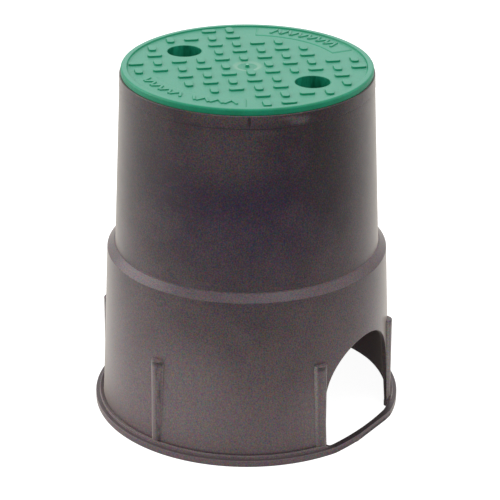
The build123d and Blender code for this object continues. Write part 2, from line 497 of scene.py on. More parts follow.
@dataclass(frozen=True)
class Plastic:
    """A moulded plastic with a mottled colour, streaks along its draw, grain, pale specks and
    painted top sheen.

    Scales are repeats for each metre, and depths are metres of relief.
    """

    name: str
    dark: Colour
    light: Colour
    top_dust_and_sheen: Colour
    scuff: Colour
    fleck: Point3
    fleck_gain: float = 0.0
    sheen_marks: tuple[Mark, ...] = ()
    upward_share: float = 1.0
    upward_start: float = 0.45
    upward_full: float = 0.95
    roughness: float = 0.35
    roughness_spread: float = 0.08
    specular: float = 0.5
    specular_tint: Colour = (1.0, 1.0, 1.0, 1.0)
    sheen: float = 0.0
    sheen_roughness: float = 0.33
    sheen_tint: Colour = (1.0, 0.91, 0.77, 1.0)
    mottle_scale: float = 55.0
    streak_centre: float = 0.0
    streak_scale: float = 9.0
    streak_stretch: float = 0.12
    streak_share: float = 0.35
    contrast: float = 0.15
    fleck_scale: float = 1150.0
    grain_scale: float = 1400.0
    grain_depth: float = 0.012 * MM
    wave_scale: float = 38.0
    wave_depth: float = 0.04 * MM
    speck_scale: float = 420.0
    speck_start: float = 0.76
    speck_width: float = 0.06
    speck_share: float = 0.35

    def make(self) -> Finish:
        """Build the material.

        Returns:
            The finished material.
        """
        material = bpy.data.materials.new(self.name)
        material.use_nodes = True
        board = Board(material.node_tree)
        shader = material.node_tree.nodes["Principled BSDF"]
        shader.inputs["Specular IOR Level"].default_value = self.specular
        shader.inputs["Specular Tint"].default_value = self.specular_tint
        shader.inputs["Sheen Weight"].default_value = self.sheen
        shader.inputs["Sheen Roughness"].default_value = self.sheen_roughness
        shader.inputs["Sheen Tint"].default_value = self.sheen_tint
        spots = board.add("ShaderNodeTexCoord").outputs
        place, normal = spots["Object"], spots["Normal"]
        worn = self.specks(board, place)
        colour = self.tint(board, place, normal, self.pattern(board, place))
        # Faces that look up turn paler: painted sheen, and dust as well on the black plastic.
        top_dust_and_sheen = self.top_dust_and_sheen
        # Painted glints, highlights and shade laid over the painted top sheen.
        for mark in self.sheen_marks:
            top_dust_and_sheen = mark.lay(board, place, top_dust_and_sheen)
        colour = board.mix(self.upward_mask(board, place, normal), colour, top_dust_and_sheen)
        colour = board.mix(worn, self.flecks(board, place, colour), self.scuff)
        # Painted shade in creases and on the top of the flange.
        colour = self.sink(board, place, normal, colour)
        board.tree.links.new(colour, shader.inputs["Base Color"])
        board.tree.links.new(self.gloss(board, place, worn), shader.inputs["Roughness"])
        board.tree.links.new(self.relief(board, place), shader.inputs["Normal"])
        return material

    def sink(self, board: Board, place: Socket, normal: Socket, colour: Value) -> Socket:
        """Paint shade into creases; a plastic without creases keeps its colour.

        Args:
            board: the material's nodes.
            place: where the surface point is.
            normal: the surface's direction.
            colour: the finished colour.

        Returns:
            The colour there.
        """
        return colour

    def pattern(self, board: Board, place: Socket) -> Socket:
        """Mix the mottled colour with its streaks.

        Args:
            board: the material's nodes.
            place: where the surface point is.

        Returns:
            The colour.
        """
        mottle = board.noise(place, self.mottle_scale, 5.0, 0.6)
        parts = board.split(place)
        across = board.math("SUBTRACT", board.math("ABSOLUTE", parts[0]), self.streak_centre)
        turn = board.math("ARCTAN2", parts[1], across)
        draw = board.math("DIVIDE", parts[2], self.streak_stretch)
        along = board.join(turn, draw)
        streaks = board.noise(along, self.streak_scale, 6.0, 0.7)
        share = board.math("MULTIPLY", streaks, self.streak_share)
        blend = board.math("MULTIPLY_ADD", mottle, 1 - self.streak_share, share)
        blend = board.ramp(blend, 0.5 - self.contrast, 0.5 + self.contrast)
        return board.mix(blend, self.dark, self.light)

    def tint(self, board: Board, place: Socket, normal: Socket, colour: Value) -> Socket:
        """Leave the colour the same all over; a coloured wall overrides this.

        Args:
            board: the material's nodes.
            place: where the surface point is.
            normal: the surface's direction.
            colour: the mottled colour.

        Returns:
            The colour there.
        """
        return colour

    def upward_mask(self, board: Board, place: Socket, normal: Socket) -> Socket:
        """Tell how far a surface faces up and so carries the painted top sheen, with dust on the
        black plastic.

        Args:
            board: the material's nodes.
            place: where the surface point is.
            normal: the surface's direction.

        Returns:
            The share of the painted sheen.
        """
        rise = board.split(normal)[2]
        facing = board.ramp(rise, self.upward_start, self.upward_full)
        return board.math("MULTIPLY", facing, self.upward_share)

    def flecks(self, board: Board, place: Socket, colour: Value) -> Socket:
        """Scatter fine flecks of colour, as pigment leaves them.

        Args:
            board: the material's nodes.
            place: where the surface point is.
            colour: the colour below the flecks.

        Returns:
            The flecked colour.
        """
        values = {"Vector": place, "Scale": self.fleck_scale, "Detail": 1.0}
        noise = board.add("ShaderNodeTexNoise", values).outputs["Color"]
        swing = board.vector("SUBTRACT", noise, (0.5, 0.5, 0.5))
        size = board.vector("MULTIPLY_ADD", colour, (self.fleck_gain,) * 3, self.fleck)
        shifted = board.vector("MULTIPLY_ADD", swing, size, colour)
        return board.vector("MAXIMUM", shifted, (0.0, 0.0, 0.0))

    def specks(self, board: Board, place: Socket) -> Socket:
        """Scatter small pale scuffs.

        Args:
            board: the material's nodes.
            place: where the surface point is.

        Returns:
            How scuffed each point is.
        """
        wear = board.noise(place, self.speck_scale, 2.0, 0.8)
        wear = board.ramp(wear, self.speck_start, self.speck_start + self.speck_width)
        return board.math("MULTIPLY", wear, self.speck_share)

    def gloss(self, board: Board, place: Socket, wear: Socket) -> Socket:
        """Vary the roughness a little over the surface.

        Args:
            board: the material's nodes.
            place: where the surface point is.
            wear: how worn each point is.

        Returns:
            The roughness.
        """
        cloud = board.noise(place, self.wave_scale * 3, 3.0, 0.5)
        swing = board.math("MULTIPLY", board.math("SUBTRACT", cloud, 0.5), self.roughness_spread)
        dull = board.math("MULTIPLY_ADD", wear, self.roughness_spread, self.roughness)
        return board.math("ADD", dull, swing)

    def relief(self, board: Board, place: Socket) -> Socket:
        """Raise the fine grain over the slow waves of the moulded wall.

        Args:
            board: the material's nodes.
            place: where the surface point is.

        Returns:
            The surface normal.
        """
        wave = board.noise(place, self.wave_scale, 1.0, 0.5)
        values = {"Height": wave, "Distance": self.wave_depth, "Strength": 1.0}
        slow = board.add("ShaderNodeBump", values).outputs[0]
        grain = board.noise(place, self.grain_scale, 2.0, 0.5)
        values = {"Height": grain, "Distance": self.grain_depth, "Strength": 1.0, "Normal": slow}
        return board.add("ShaderNodeBump", values).outputs[0]


@dataclass(frozen=True)
class DustyPlastic(Plastic):
    """The black plastic: dusty, paler at its foot from dust and painted bounce light, with a violet
    cast high on its front, and painted shade in its creases and on its flange.
    """

    specular_tint: Colour = (1.0, 0.90, 0.93, 1.0)
    sheen: float = 0.78
    dust_and_bounce: Colour = (0.158, 0.117, 0.122, 1.0)
    dust_and_bounce_top: float = 170.0 * MM
    dust_and_bounce_foot: float = 0.0
    cloud_scale: float = 24.0
    cloud_lift: float = 100.0 * MM
    cast: Colour = (0.022, 0.009, 0.042, 1.0)
    cast_centre: Point3 = (0.048, -0.070, 0.160)
    cast_reach: float = 90.0 * MM
    cast_share: float = 0.7
    stains_and_painted_light: tuple[Mark, ...] = ()
    crease_shades: tuple[CreaseShade, ...] = ()
    crease_shade: Colour = (0.008, 0.005, 0.009, 1.0)
    crease_shade_share: float = 0.9
    upward_ceiling: float = 205.0 * MM
    upward_fade: float = 5.0 * MM
    flange_top: float = 4.9 * MM
    flange_fade: float = 0.3 * MM
    flange_shade_share: float = 0.45
    shaded_rise: Point2 = (0.5, 0.9)
    strip_shade_share: float = 0.45
    strip_half: float = 38.0 * MM
    strip_fade: float = 4.0 * MM

    def tint(self, board: Board, place: Socket, normal: Socket, colour: Value) -> Socket:
        """Lay the violet cast, the dust and painted bounce light low down, and the stains and
        painted highlights over the mottled colour.

        Args:
            board: the material's nodes.
            place: where the surface point is.
            normal: the surface's direction.
            colour: the mottled colour.

        Returns:
            The colour there.
        """
        away = board.length(board.vector("SUBTRACT", place, self.cast_centre))
        near = board.math("MULTIPLY", board.ramp(away, self.cast_reach, 0.0), self.cast_share)
        colour = board.mix(near, colour, self.cast)
        height = board.split(place)[2]
        cloud = board.math("SUBTRACT", board.noise(place, self.cloud_scale, 4.0, 0.6), 0.5)
        height = board.math("MULTIPLY_ADD", cloud, self.cloud_lift, height)
        # Paler towards the foot: dust, and painted light bounced up from the floor.
        values = {0: height, 1: self.dust_and_bounce_top, 2: self.dust_and_bounce_foot}
        low = board.add("ShaderNodeMapRange", values).outputs[0]
        colour = board.mix(low, colour, self.dust_and_bounce)
        # Stains, with painted bounce light and painted highlights among them.
        for tone_patch in self.stains_and_painted_light:
            colour = tone_patch.lay(board, place, colour)
        return colour

    def upward_mask(self, board: Board, place: Socket, normal: Socket) -> Socket:
        """Keep the painted top sheen and dust off the collar.

        Args:
            board: the material's nodes.
            place: where the surface point is.
            normal: the surface's direction.

        Returns:
            The share of the painted sheen and dust.
        """
        height = board.split(place)[2]
        below = board.ramp(height, self.upward_ceiling + self.upward_fade, self.upward_ceiling)
        return board.math("MULTIPLY", super().upward_mask(board, place, normal), below)

    def sink(self, board: Board, place: Socket, normal: Socket, colour: Value) -> Socket:
        """Paint shade into the creases and onto the top of the flange, darkest on the tie strips.

        Args:
            board: the material's nodes.
            place: where the surface point is.
            normal: the surface's direction.
            colour: the finished colour.

        Returns:
            The colour there.
        """
        parts = board.split(place)
        flat = board.join(parts[0], parts[1])
        section = board.join(board.length(flat), parts[2])
        rise = board.split(normal)[2]
        # Painted shade on the flange's upward faces, deepest on the tie strips.
        low = board.ramp(parts[2], self.flange_top, self.flange_top - self.flange_fade)
        aside = board.math("ABSOLUTE", parts[1])
        strip = board.ramp(aside, self.strip_half, self.strip_half - self.strip_fade)
        share = board.math("MULTIPLY_ADD", strip, self.strip_shade_share, self.flange_shade_share)
        low = board.math("MULTIPLY", low, share)
        painted_shade = board.math("MULTIPLY", board.ramp(rise, *self.shaded_rise), low)
        # Painted shade in the creases.
        for crease_shade in self.crease_shades:
            painted_shade = board.math("MAXIMUM", painted_shade, crease_shade.depth(board, section))
        return board.mix(board.math("MULTIPLY", painted_shade, self.crease_shade_share), colour, self.crease_shade)


@dataclass(frozen=True)
class RibPlastic(DustyPlastic):
    """The black plastic of a rib: painted highlights along its edges, dark smears beside its middle
    and painted shade on its top.
    """

    edge_highlight: Colour = (0.34, 0.31, 0.29, 1.0)
    left_highlight: float = 0.75
    left_edge: Point2 = (-0.5, -0.8)
    right_highlight: float = 0.3
    right_edge: Point2 = (0.75, 0.92)
    smear_and_cap_shade: Colour = (0.012, 0.007, 0.010, 1.0)
    smear_share: float = 0.6
    smear_scale: float = 330.0
    smear_squeeze: float = 0.16
    smear_contrast: Point2 = (0.44, 0.58)
    smear_near: Point2 = (0.0, 0.35)
    smear_far: Point2 = (0.85, 0.6)
    cap_shade_share: float = 0.75
    rib_top: float = 63.0 * MM
    cap_start: float = 4.5 * MM
    cap_full: float = 1.5 * MM
    axis_distance: float = 95.0 * MM

    def tint(self, board: Board, place: Socket, normal: Socket, colour: Value) -> Socket:
        """Lay the smears, the painted shade on the cap and the painted edge highlights over the
        black plastic.

        How far a point lies to the side of its rib is told by how far its face turns from the
        box's axis: -1 at the rib's left edge, 0 at its middle and 1 at its right edge.

        Args:
            board: the material's nodes.
            place: where the surface point is.
            normal: the surface's direction.
            colour: the mottled colour.

        Returns:
            The colour there.
        """
        colour = super().tint(board, place, normal, colour)
        spot = board.split(place)
        face = board.split(normal)
        turn = board.math("SUBTRACT", board.math("MULTIPLY", spot[0], face[1]),
                          board.math("MULTIPLY", spot[1], face[0]))
        across = board.math("DIVIDE", turn, self.axis_distance)
        squeezed = board.vector("MULTIPLY", place, (1.0, 1.0, self.smear_squeeze))
        streaks = board.noise(squeezed, self.smear_scale, 3.0, 0.6)
        streaks = board.ramp(streaks, *self.smear_contrast)
        beside = board.math("MULTIPLY", board.ramp(across, *self.smear_near),
                            board.ramp(across, *self.smear_far))
        smeared = board.math("MULTIPLY", board.math("MULTIPLY", streaks, beside), self.smear_share)
        # Painted shade on the rib's top, in the same dark colour as the smears.
        cap = board.ramp(spot[2], self.rib_top - self.cap_start, self.rib_top - self.cap_full)
        dark = board.math("MAXIMUM", smeared, board.math("MULTIPLY", cap, self.cap_shade_share))
        colour = board.mix(dark, colour, self.smear_and_cap_shade)
        # Painted highlights along the rib's edges.
        left = board.math("MULTIPLY", board.ramp(across, *self.left_edge), self.left_highlight)
        right = board.math("MULTIPLY", board.ramp(across, *self.right_edge), self.right_highlight)
        return board.mix(board.math("ADD", left, right), colour, self.edge_highlight)


def patch(spot: Point3, size: Point3, tone: Point3, share: float, sharp: float = 0.2) -> Mark:
    """Describe a mark in millimetres.

    Args:
        spot: its middle.
        size: how far it reaches along each axis.
        tone: its colour.
        share: how much of the colour shows at its middle.
        sharp: how much of its reach is full, before it fades.

    Returns:
        The mark.
    """
    centre, reach = (tuple(value * MM for value in point) for point in (spot, size))
    return Mark(centre, reach, (*tone, 1.0), share, sharp)


# Paler in the corner of the foot, all round: dust, and painted light bounced from the floor.
FOOT_DUST_AND_BOUNCE = patch((0.0, 0.0, 2.0), (1000.0, 1000.0, 7.5), (0.190, 0.145, 0.158), 0.45, 0.4)
# Paler low on the front, and beside the slot: dust, and painted light bounced from the floor.
LOW_DUST_AND_BOUNCE = (
    patch((16.5, -94.1, 40.0), (50.0, 50.0, 60.0), (0.215, 0.170, 0.176), 0.55),
    patch((85.3, -44.1, 22.0), (16.0, 16.0, 40.0), (0.190, 0.150, 0.152), 0.50),
)
# Light and dark clouds high on the front.
CLOUDS = (
    patch((36.0, -73.0, 208.0), (40.0, 40.0, 36.0), (0.074, 0.053, 0.060), 0.80),
    patch((-25.0, -77.0, 200.0), (30.0, 30.0, 45.0), (0.015, 0.010, 0.012), 0.40),
    patch((78.9, -22.3, 200.0), (30.0, 30.0, 70.0), (0.012, 0.009, 0.011), 0.60),
    patch((-46.1, -67.2, 205.0), (22.0, 22.0, 35.0), (0.045, 0.034, 0.036), 0.45),
)
# A painted soft highlight along the collar's band, and three painted glare spots on and below it.
COLLAR_PAINTED_HIGHLIGHTS = (
    patch((40.4, -70.1, 229.0), (45.0, 45.0, 8.0), (0.085, 0.062, 0.066), 0.80),
    patch((68.7, -42.7, 225.2), (10.0, 10.0, 3.5), (0.120, 0.098, 0.104), 0.70),
    patch((65.1, -48.0, 227.3), (8.0, 8.0, 2.0), (0.130, 0.105, 0.110), 0.50),
    patch((53.8, -61.0, 218.6), (12.0, 12.0, 2.5), (0.085, 0.062, 0.070), 0.45),
)
# Short dark lines where the guides show through the collar, and a dark spot below it.
COLLAR_LINES = (
    patch((47.6, -65.4, 226.3), (1.2, 1.2, 4.2), (0.004, 0.002, 0.003), 0.80, 0.6),
    patch((-37.2, -71.9, 216.4), (1.2, 1.2, 1.6), (0.006, 0.004, 0.004), 0.85, 0.5),
    patch((80.5, 8.5, 226.3), (1.2, 1.2, 4.2), (0.004, 0.002, 0.003), 0.70, 0.6),
    patch((-32.9, -73.9, 226.3), (1.2, 1.2, 4.2), (0.004, 0.002, 0.003), 0.70, 0.6),
)
# Painted shade in the collar's seam, and in the corner between wall and foot ring.
CREASE_SHADES = (
    CreaseShade(81.1 * MM, 221.6 * MM, 0.5 * MM, 0.45),
    CreaseShade(96.5 * MM, 6.0 * MM, 0.9 * MM, 0.35),
)
# The lid's dimple, laid over the painted top sheen: a ring of painted glints, a floor with less
# painted sheen, and a painted highlight on the tip of its pip.
DIMPLE_PAINTED_LIGHT = (
    patch((0.0, 0.0, 232.5), (10.5, 10.5, 10.0), (0.205, 0.400, 0.300), 0.8, 0.72),
    patch((0.0, 0.0, 232.5), (6.6, 6.6, 10.0), (0.070, 0.300, 0.200), 0.9, 0.9),
    patch((0.0, 0.0, 234.0), (1.2, 1.2, 1.0), (0.250, 0.520, 0.420), 1.0, 0.7),
)
BLACK_WALL = DustyPlastic(
    name="black_moulded_plastic",
    dark=(0.015, 0.008, 0.010, 1.0),
    light=(0.040, 0.026, 0.029, 1.0),
    top_dust_and_sheen=(0.088, 0.062, 0.072, 1.0),
    scuff=(0.20, 0.16, 0.15, 1.0),
    fleck=(0.18, 0.085, 0.10),
    fleck_gain=1.7,
    roughness=0.32,
    stains_and_painted_light=(FOOT_DUST_AND_BOUNCE, *LOW_DUST_AND_BOUNCE, *CLOUDS, *COLLAR_PAINTED_HIGHLIGHTS, *COLLAR_LINES),
    crease_shades=CREASE_SHADES,
)
BLACK_RIB = RibPlastic(
    name="black_scuffed_plastic",
    dark=(0.006, 0.004, 0.004, 1.0),
    light=(0.10, 0.078, 0.083, 1.0),
    top_dust_and_sheen=(0.13, 0.10, 0.105, 1.0),
    scuff=(0.2, 0.17, 0.16, 1.0),
    fleck=(0.17, 0.08, 0.09),
    fleck_gain=1.7,
    roughness=0.34,
    streak_scale=60.0,
    streak_stretch=0.25,
    streak_share=0.75,
    dust_and_bounce=(0.175, 0.135, 0.140, 1.0),
    dust_and_bounce_top=220.0 * MM,
    contrast=0.10,
    stains_and_painted_light=LOW_DUST_AND_BOUNCE,
)
GREEN_LID = Plastic(
    name="green_moulded_plastic",
    dark=(0.001, 0.235, 0.116, 1.0),
    light=(0.004, 0.275, 0.144, 1.0),
    top_dust_and_sheen=(0.096, 0.335, 0.234, 1.0),
    scuff=(0.25, 0.45, 0.36, 1.0),
    fleck=(0.05, 0.05, 0.06),
    fleck_gain=0.15,
    sheen_marks=DIMPLE_PAINTED_LIGHT,
    roughness=0.42,
    specular=0.3,
    streak_share=0.0,
    upward_start=0.80,
    upward_full=0.995,
)
GREEN_SLEEVE = Plastic(
    name="green_streaked_plastic",
    dark=(0.001, 0.125, 0.060, 1.0),
    light=(0.016, 0.350, 0.205, 1.0),
    top_dust_and_sheen=(0.05, 0.30, 0.19, 1.0),
    scuff=(0.10, 0.36, 0.24, 1.0),
    fleck=(0.01, 0.03, 0.03),
    roughness=0.36,
    specular=0.3,
    streak_centre=49.5 * MM,
    streak_scale=1.5,
    streak_stretch=0.06,
    streak_share=0.95,
    contrast=0.16,
)


@dataclass(frozen=True)
class Row:
    """Where one row of copies stands, in metres and radians, in the order of Repeats.SIZES."""

    count: int
    radius: float
    first: float
    step: float
    level: float = 0.0
    stretch: float = 1.0
    slot_half: float = 0.0


class Pattern:
    """A Geometry Nodes tree with named sizes that sets copies of a shape and dresses them."""

    SIZES: tuple[str, ...] = ()

    def __init__(self, name: str) -> None:
        """Build the tree.

        Args:
            name: its name.
        """
        self.tree = bpy.data.node_groups.new(name, "GeometryNodeTree")
        face = self.tree.interface
        face.new_socket("Geometry", in_out="INPUT", socket_type="NodeSocketGeometry")
        for size in self.SIZES:
            kind = "NodeSocketInt" if size == "Count" else "NodeSocketFloat"
            face.new_socket(size, in_out="INPUT", socket_type=kind)
        face.new_socket("Shape", in_out="INPUT", socket_type="NodeSocketObject")
        face.new_socket("Finish", in_out="INPUT", socket_type="NodeSocketMaterial")
        face.new_socket("Geometry", in_out="OUTPUT", socket_type="NodeSocketGeometry")
        board = Board(self.tree)
        sizes = board.add("NodeGroupInput").outputs
        shape = board.add("GeometryNodeObjectInfo", {"Object": sizes["Shape"]})
        copies = self.scatter(board, sizes, shape.outputs["Geometry"])
        real = board.add("GeometryNodeRealizeInstances", {0: copies}).outputs[0]
        values = {"Geometry": self.trim(board, real, sizes), "Material": sizes["Finish"]}
        dressed = board.add("GeometryNodeSetMaterial", values).outputs[0]
        board.add("NodeGroupOutput", {0: dressed})

    def scatter(self, board: Board, sizes: Sockets, shape: Socket) -> Socket:
        """Set the copies; each kind of pattern does it its own way.

        Args:
            board: the tree's nodes.
            sizes: the tree's inputs by name.
            shape: what is copied.

        Returns:
            The copies.
        """
        raise NotImplementedError

    def trim(self, board: Board, mesh: Socket, sizes: Sockets) -> Socket:
        """Return the copies as they are; a pattern with something to trim overrides this."""
        return mesh

    def run(self, name: str, pattern: Piece, finish: Finish, sizes: Sequence[float]) -> Piece:
        """Run the tree once.

        Args:
            name: the result's name.
            pattern: the object that is copied.
            finish: its material.
            sizes: the values of the tree's named sizes, in their order.

        Returns:
            A plain object with the copies.
        """
        inputs = {item.name: item.identifier for item in self.tree.interface.items_tree
                  if item.in_out == "INPUT"}
        part = bpy.data.objects.new(name, bpy.data.meshes.new(name))
        bpy.context.scene.collection.objects.link(part)
        modifier = part.modifiers.new(self.tree.name, "NODES")
        modifier.node_group = self.tree
        for size, value in zip(self.SIZES, sizes):
            modifier[inputs[size]] = value
        modifier[inputs["Shape"]] = pattern
        modifier[inputs["Finish"]] = finish
        return bake(part)


class Repeats(Pattern):
    """Sets copies of a shape round the box's axis."""

    SIZES = ("Count", "Radius", "First Angle", "Angle Step", "Level", "Scale X", "Slot Half")

    def scatter(self, board: Board, sizes: Sockets, shape: Socket) -> Socket:
        """Set the copies on a circle, each turned to face outwards.

        Args:
            board: the tree's nodes.
            sizes: the tree's inputs by name.
            shape: what is copied.

        Returns:
            The copies.
        """
        index = board.add("GeometryNodeInputIndex").outputs[0]
        angle = board.math("MULTIPLY_ADD", index, sizes["Angle Step"], sizes["First Angle"])
        x = board.math("MULTIPLY", sizes["Radius"], board.math("COSINE", angle))
        y = board.math("MULTIPLY", sizes["Radius"], board.math("SINE", angle))
        values = {"Count": sizes["Count"], "Position": board.join(x, y, sizes["Level"])}
        points = board.add("GeometryNodePoints", values).outputs[0]
        turn = board.join(z=angle)
        stretch = board.join(sizes["Scale X"], 1.0, 1.0)
        values = {"Points": points, "Instance": shape, "Rotation": turn, "Scale": stretch}
        return board.add("GeometryNodeInstanceOnPoints", values).outputs[0]

    def trim(self, board: Board, mesh: Socket, sizes: Sockets) -> Socket:
        """Press what reaches into the pipe slots flat against the sides of the slots.

        Args:
            board: the tree's nodes.
            mesh: the copies.
            sizes: the tree's inputs by name; half a slot's width is 0 for no trimming.

        Returns:
            The trimmed geometry.
        """
        place = board.add("GeometryNodeInputPosition").outputs[0]
        parts = board.split(place)
        side = board.math("SIGN", parts[1])
        out = board.math("MAXIMUM", board.math("ABSOLUTE", parts[1]), sizes["Slot Half"])
        spot = board.join(parts[0], board.math("MULTIPLY", side, out), parts[2])
        return board.add("GeometryNodeSetPosition", {"Geometry": mesh, "Position": spot}).outputs[0]

    def make(self, name: str, shape: Shell, finish: Finish, rows: Sequence[Row]) -> Piece:
        """Set the copies of a shape in one or more rows.

        Args:
            name: the piece's name.
            shape: the shape, standing at the axis and facing +X.
            finish: its material.
            rows: the sizes of each row.

        Returns:
            One plain object that holds every copy.
        """
        pattern = settle(shape.piece(name + "_shape"))
        parts = [self.run(name, pattern, finish, astuple(row)) for row in rows]
        bpy.data.objects.remove(pattern)
        return merge(name, parts)


def merge(name: str, parts: Sequence[Piece]) -> Piece:
    """Join plain objects into the first of them.

    Args:
        name: the name of the result.
        parts: objects with plain meshes that stand at the origin.

    Returns:
        The joined object.
    """
    first = parts[0]
    if len(parts) > 1:
        with bpy.context.temp_override(active_object=first, selected_editable_objects=list(parts)):
            bpy.ops.object.join()
    first.name = name
    first.data.name = name
    return first


@dataclass
class BoxBody:
    """The black box: wall with its pipe slots, flange, foot ring, ribs and collar guides."""

    height: float = 229.7 * MM
    collar_radius: float = 80.7 * MM
    wall: float = 2.8 * MM
    foot_thinning: float = 0.9 * MM
    draft: float = tan(radians(2.64))
    band_height: float = 8.0 * MM
    band_proud: float = 0.2 * MM
    seam: float = 0.25 * MM
    shoulder_top: float = 115.1 * MM
    shoulder_height: float = 4.6 * MM
    shoulder_step: float = 5.4 * MM
    shoulder_lip: float = 0.9 * MM
    flange_radius: float = 101.6 * MM
    flange_thickness: float = 4.4 * MM
    foot_ring_radius: float = 98.9 * MM
    foot_ring_height: float = 1.8 * MM
    foot_groove: float = 0.8 * MM
    foot_chamfer: float = 2.6 * MM
    ring_fade: float = radians(2.2)
    fade_segments: int = 6
    rib_radius: float = 5.2 * MM
    rib_proud: float = 1.6 * MM
    rib_draft: float = tan(radians(0.35))
    rib_top: float = 63.0 * MM
    rib_crown: tuple[Point2, ...] = (
        (1.0 * MM, 0.0), (0.45 * MM, 0.06 * MM), (0.12 * MM, 0.28 * MM), (0.0, 0.75 * MM)
    )
    rib_segments: int = 20
    slot_rib_angle: float = radians(25.0)
    side_rib_angle: float = radians(88.3)
    slot_width: float = 73.0 * MM
    slot_top: float = 69.8 * MM
    cut_segments: int = 3
    strip_bow: float = 2.4 * MM
    strip_bow_middle: float = radians(-2.5)
    strip_bow_half: float = radians(17.8)
    strip_setback: float = 0.05 * MM
    strip_width: float = 4.3 * MM
    strip_reach: float = 98.7 * MM
    strip_corner: float = 0.95
    strip_overlap: float = 1.03
    strip_segments: int = 120
    burr_angle: float = radians(-7.6)
    burr_spread: float = radians(0.9)
    burr_height: float = 0.7 * MM
    burr_levels: Point2 = (0.9 * MM, 1.7 * MM)
    guide_count: int = 6
    guide_depth: float = 3.0 * MM
    guide_thickness: float = 2.4 * MM
    guide_first: float = radians(6.0)
    guide_gap: float = 0.8 * MM
    edge: float = 0.45 * MM
    segments: int = 288
    patch_segments: int = 21
    patch_levels: int = 24
    patch_top: float = 80.0 * MM
    wall_foot: float = 4.2 * MM
    side_bend: float = radians(50.0)
    patch_rows: tuple[float, ...] = (0.0, 0.05, 0.13, 0.26, 0.45, 0.7, 1.0)
    shell: Shell = field(default_factory=Shell)

    def __post_init__(self) -> None:
        """Work out the sizes that follow from the others."""
        self.shoulder_bottom = self.shoulder_top - self.shoulder_height
        self.top_of_foot = self.flange_thickness + self.foot_ring_height
        self.upper_foot = self.collar_radius + self.draft * (self.height - self.shoulder_top)
        self.lower_head = self.upper_foot + self.shoulder_step
        self.foot_radius = self.outer(self.top_of_foot)
        self.rib_axis = self.foot_radius + self.rib_proud - self.rib_radius
        self.slot_half = self.slot_width / 2
        self.spring = self.slot_top - self.slot_half
        self.slot_angle = asin(self.slot_half / self.foot_radius)
        self.patch_angle = FULL_TURN * self.patch_segments / self.segments

    def outer(self, level: float) -> float:
        """Return the outer radius of the lower wall at a level."""
        return self.lower_head + self.draft * (self.shoulder_bottom - level)

    def inner(self, level: float) -> float:
        """Return its inner radius there; the wall thins from the arches' spring to its foot."""
        thinned = self.foot_thinning * max(0.0, 1 - level / self.spring)
        return self.outer(level) - self.wall + thinned

    def upper_outline(self) -> list[Point2]:
        """Outline the wall above the slots, from outside over the collar to inside.

        Returns:
            Pairs of radius and height.
        """
        drop = self.wall * tan(atan2(self.shoulder_step, self.shoulder_height) / 2)
        band = self.height - self.band_height
        seat = self.collar_radius + self.draft * self.band_height
        corners = [
            (self.outer(self.patch_top), self.patch_top, 0.0),
            (self.lower_head, self.shoulder_bottom, 0.8 * MM),
            (self.upper_foot + self.shoulder_lip, self.shoulder_top - 0.15 * MM, 0.15 * MM),
            (self.upper_foot, self.shoulder_top + 0.15 * MM, 0.2 * MM),
            (seat, band - self.seam, 0.1 * MM),
            (seat - self.seam, band - self.seam / 2, 0.05 * MM),
            (seat + self.band_proud, band, 0.15 * MM),
            (self.collar_radius + self.band_proud, self.height, self.edge),
            (self.collar_radius - self.wall, self.height, self.edge),
            (self.upper_foot - self.wall, self.shoulder_top - drop, 0.8 * MM),
            (self.lower_head - self.wall, self.shoulder_bottom - drop, 0.8 * MM),
            (self.outer(self.patch_top) - self.wall, self.patch_top, 0.0),
        ]
        return rounded(corners, steps=4, closed=False)

    def patch_heights(self) -> list[float]:
        """List the heights of the rings beside the slots.

        Returns:
            The heights, from the foot up.
        """
        rise = self.patch_top - self.wall_foot
        levels = range(self.patch_levels + 1)
        return [self.wall_foot + rise * k / self.patch_levels for k in levels]

    def make_wall(self) -> None:
        """Mesh the wall: the turned part above, and below it closed sides between two slots."""
        lathe(self.shell, self.upper_outline(), self.segments, loop=False)
        heights = self.patch_heights()
        down = [(self.outer(z), z) for z in reversed(heights)]
        up = [(self.inner(z), z) for z in heights]
        half = self.segments // 2
        for start in (self.patch_segments, half + self.patch_segments):
            columns = []
            for k in range(start, start + half - 2 * self.patch_segments + 1):
                angle = FULL_TURN * k / self.segments
                column = [(r * cos(angle), r * sin(angle), z) for r, z in down + up]
                columns.append(self.shell.ring(column))
            self.shell.bridge_all(columns, closed=False)
        for side in (1, -1):
            self.make_slot(side)

    def arch(self, share: float, offset: float) -> Point2:
        """Find a point on the left half of the slot's outline.

        The points beside the patch's upright border share the straight side and the first bend
        of the arch, up to side_bend; those below its top border share the rest.

        Args:
            share: 0 at its foot, 1 at its top.
            offset: how far outside the outline.

        Returns:
            Its place across the slot and its height.
        """
        straight = self.spring - self.wall_foot
        side_length = straight + self.slot_half * self.side_bend
        side_share = self.patch_levels / (self.patch_levels + self.patch_segments)
        if share <= side_share:
            travel = side_length * share / side_share
        else:
            crown = self.slot_half * (pi / 2 - self.side_bend)
            travel = side_length + crown * (share - side_share) / (1 - side_share)
        if travel <= straight:
            return (-self.slot_half - offset, self.wall_foot + travel)
        bend = (travel - straight) / self.slot_half
        reach = self.slot_half + offset
        return (-reach * cos(bend), self.spring + reach * sin(bend))

    def slot_outline(self, offset: float) -> list[Point2]:
        """List the whole outline of a slot, from one foot over the top to the other.

        Args:
            offset: how far outside the true outline.

        Returns:
            Places across the slot, and heights.
        """
        half_count = self.patch_levels + self.patch_segments
        left = [self.arch(k / half_count, offset) for k in range(half_count + 1)]
        return left + [(-y, z) for y, z in reversed(left[:-1])]

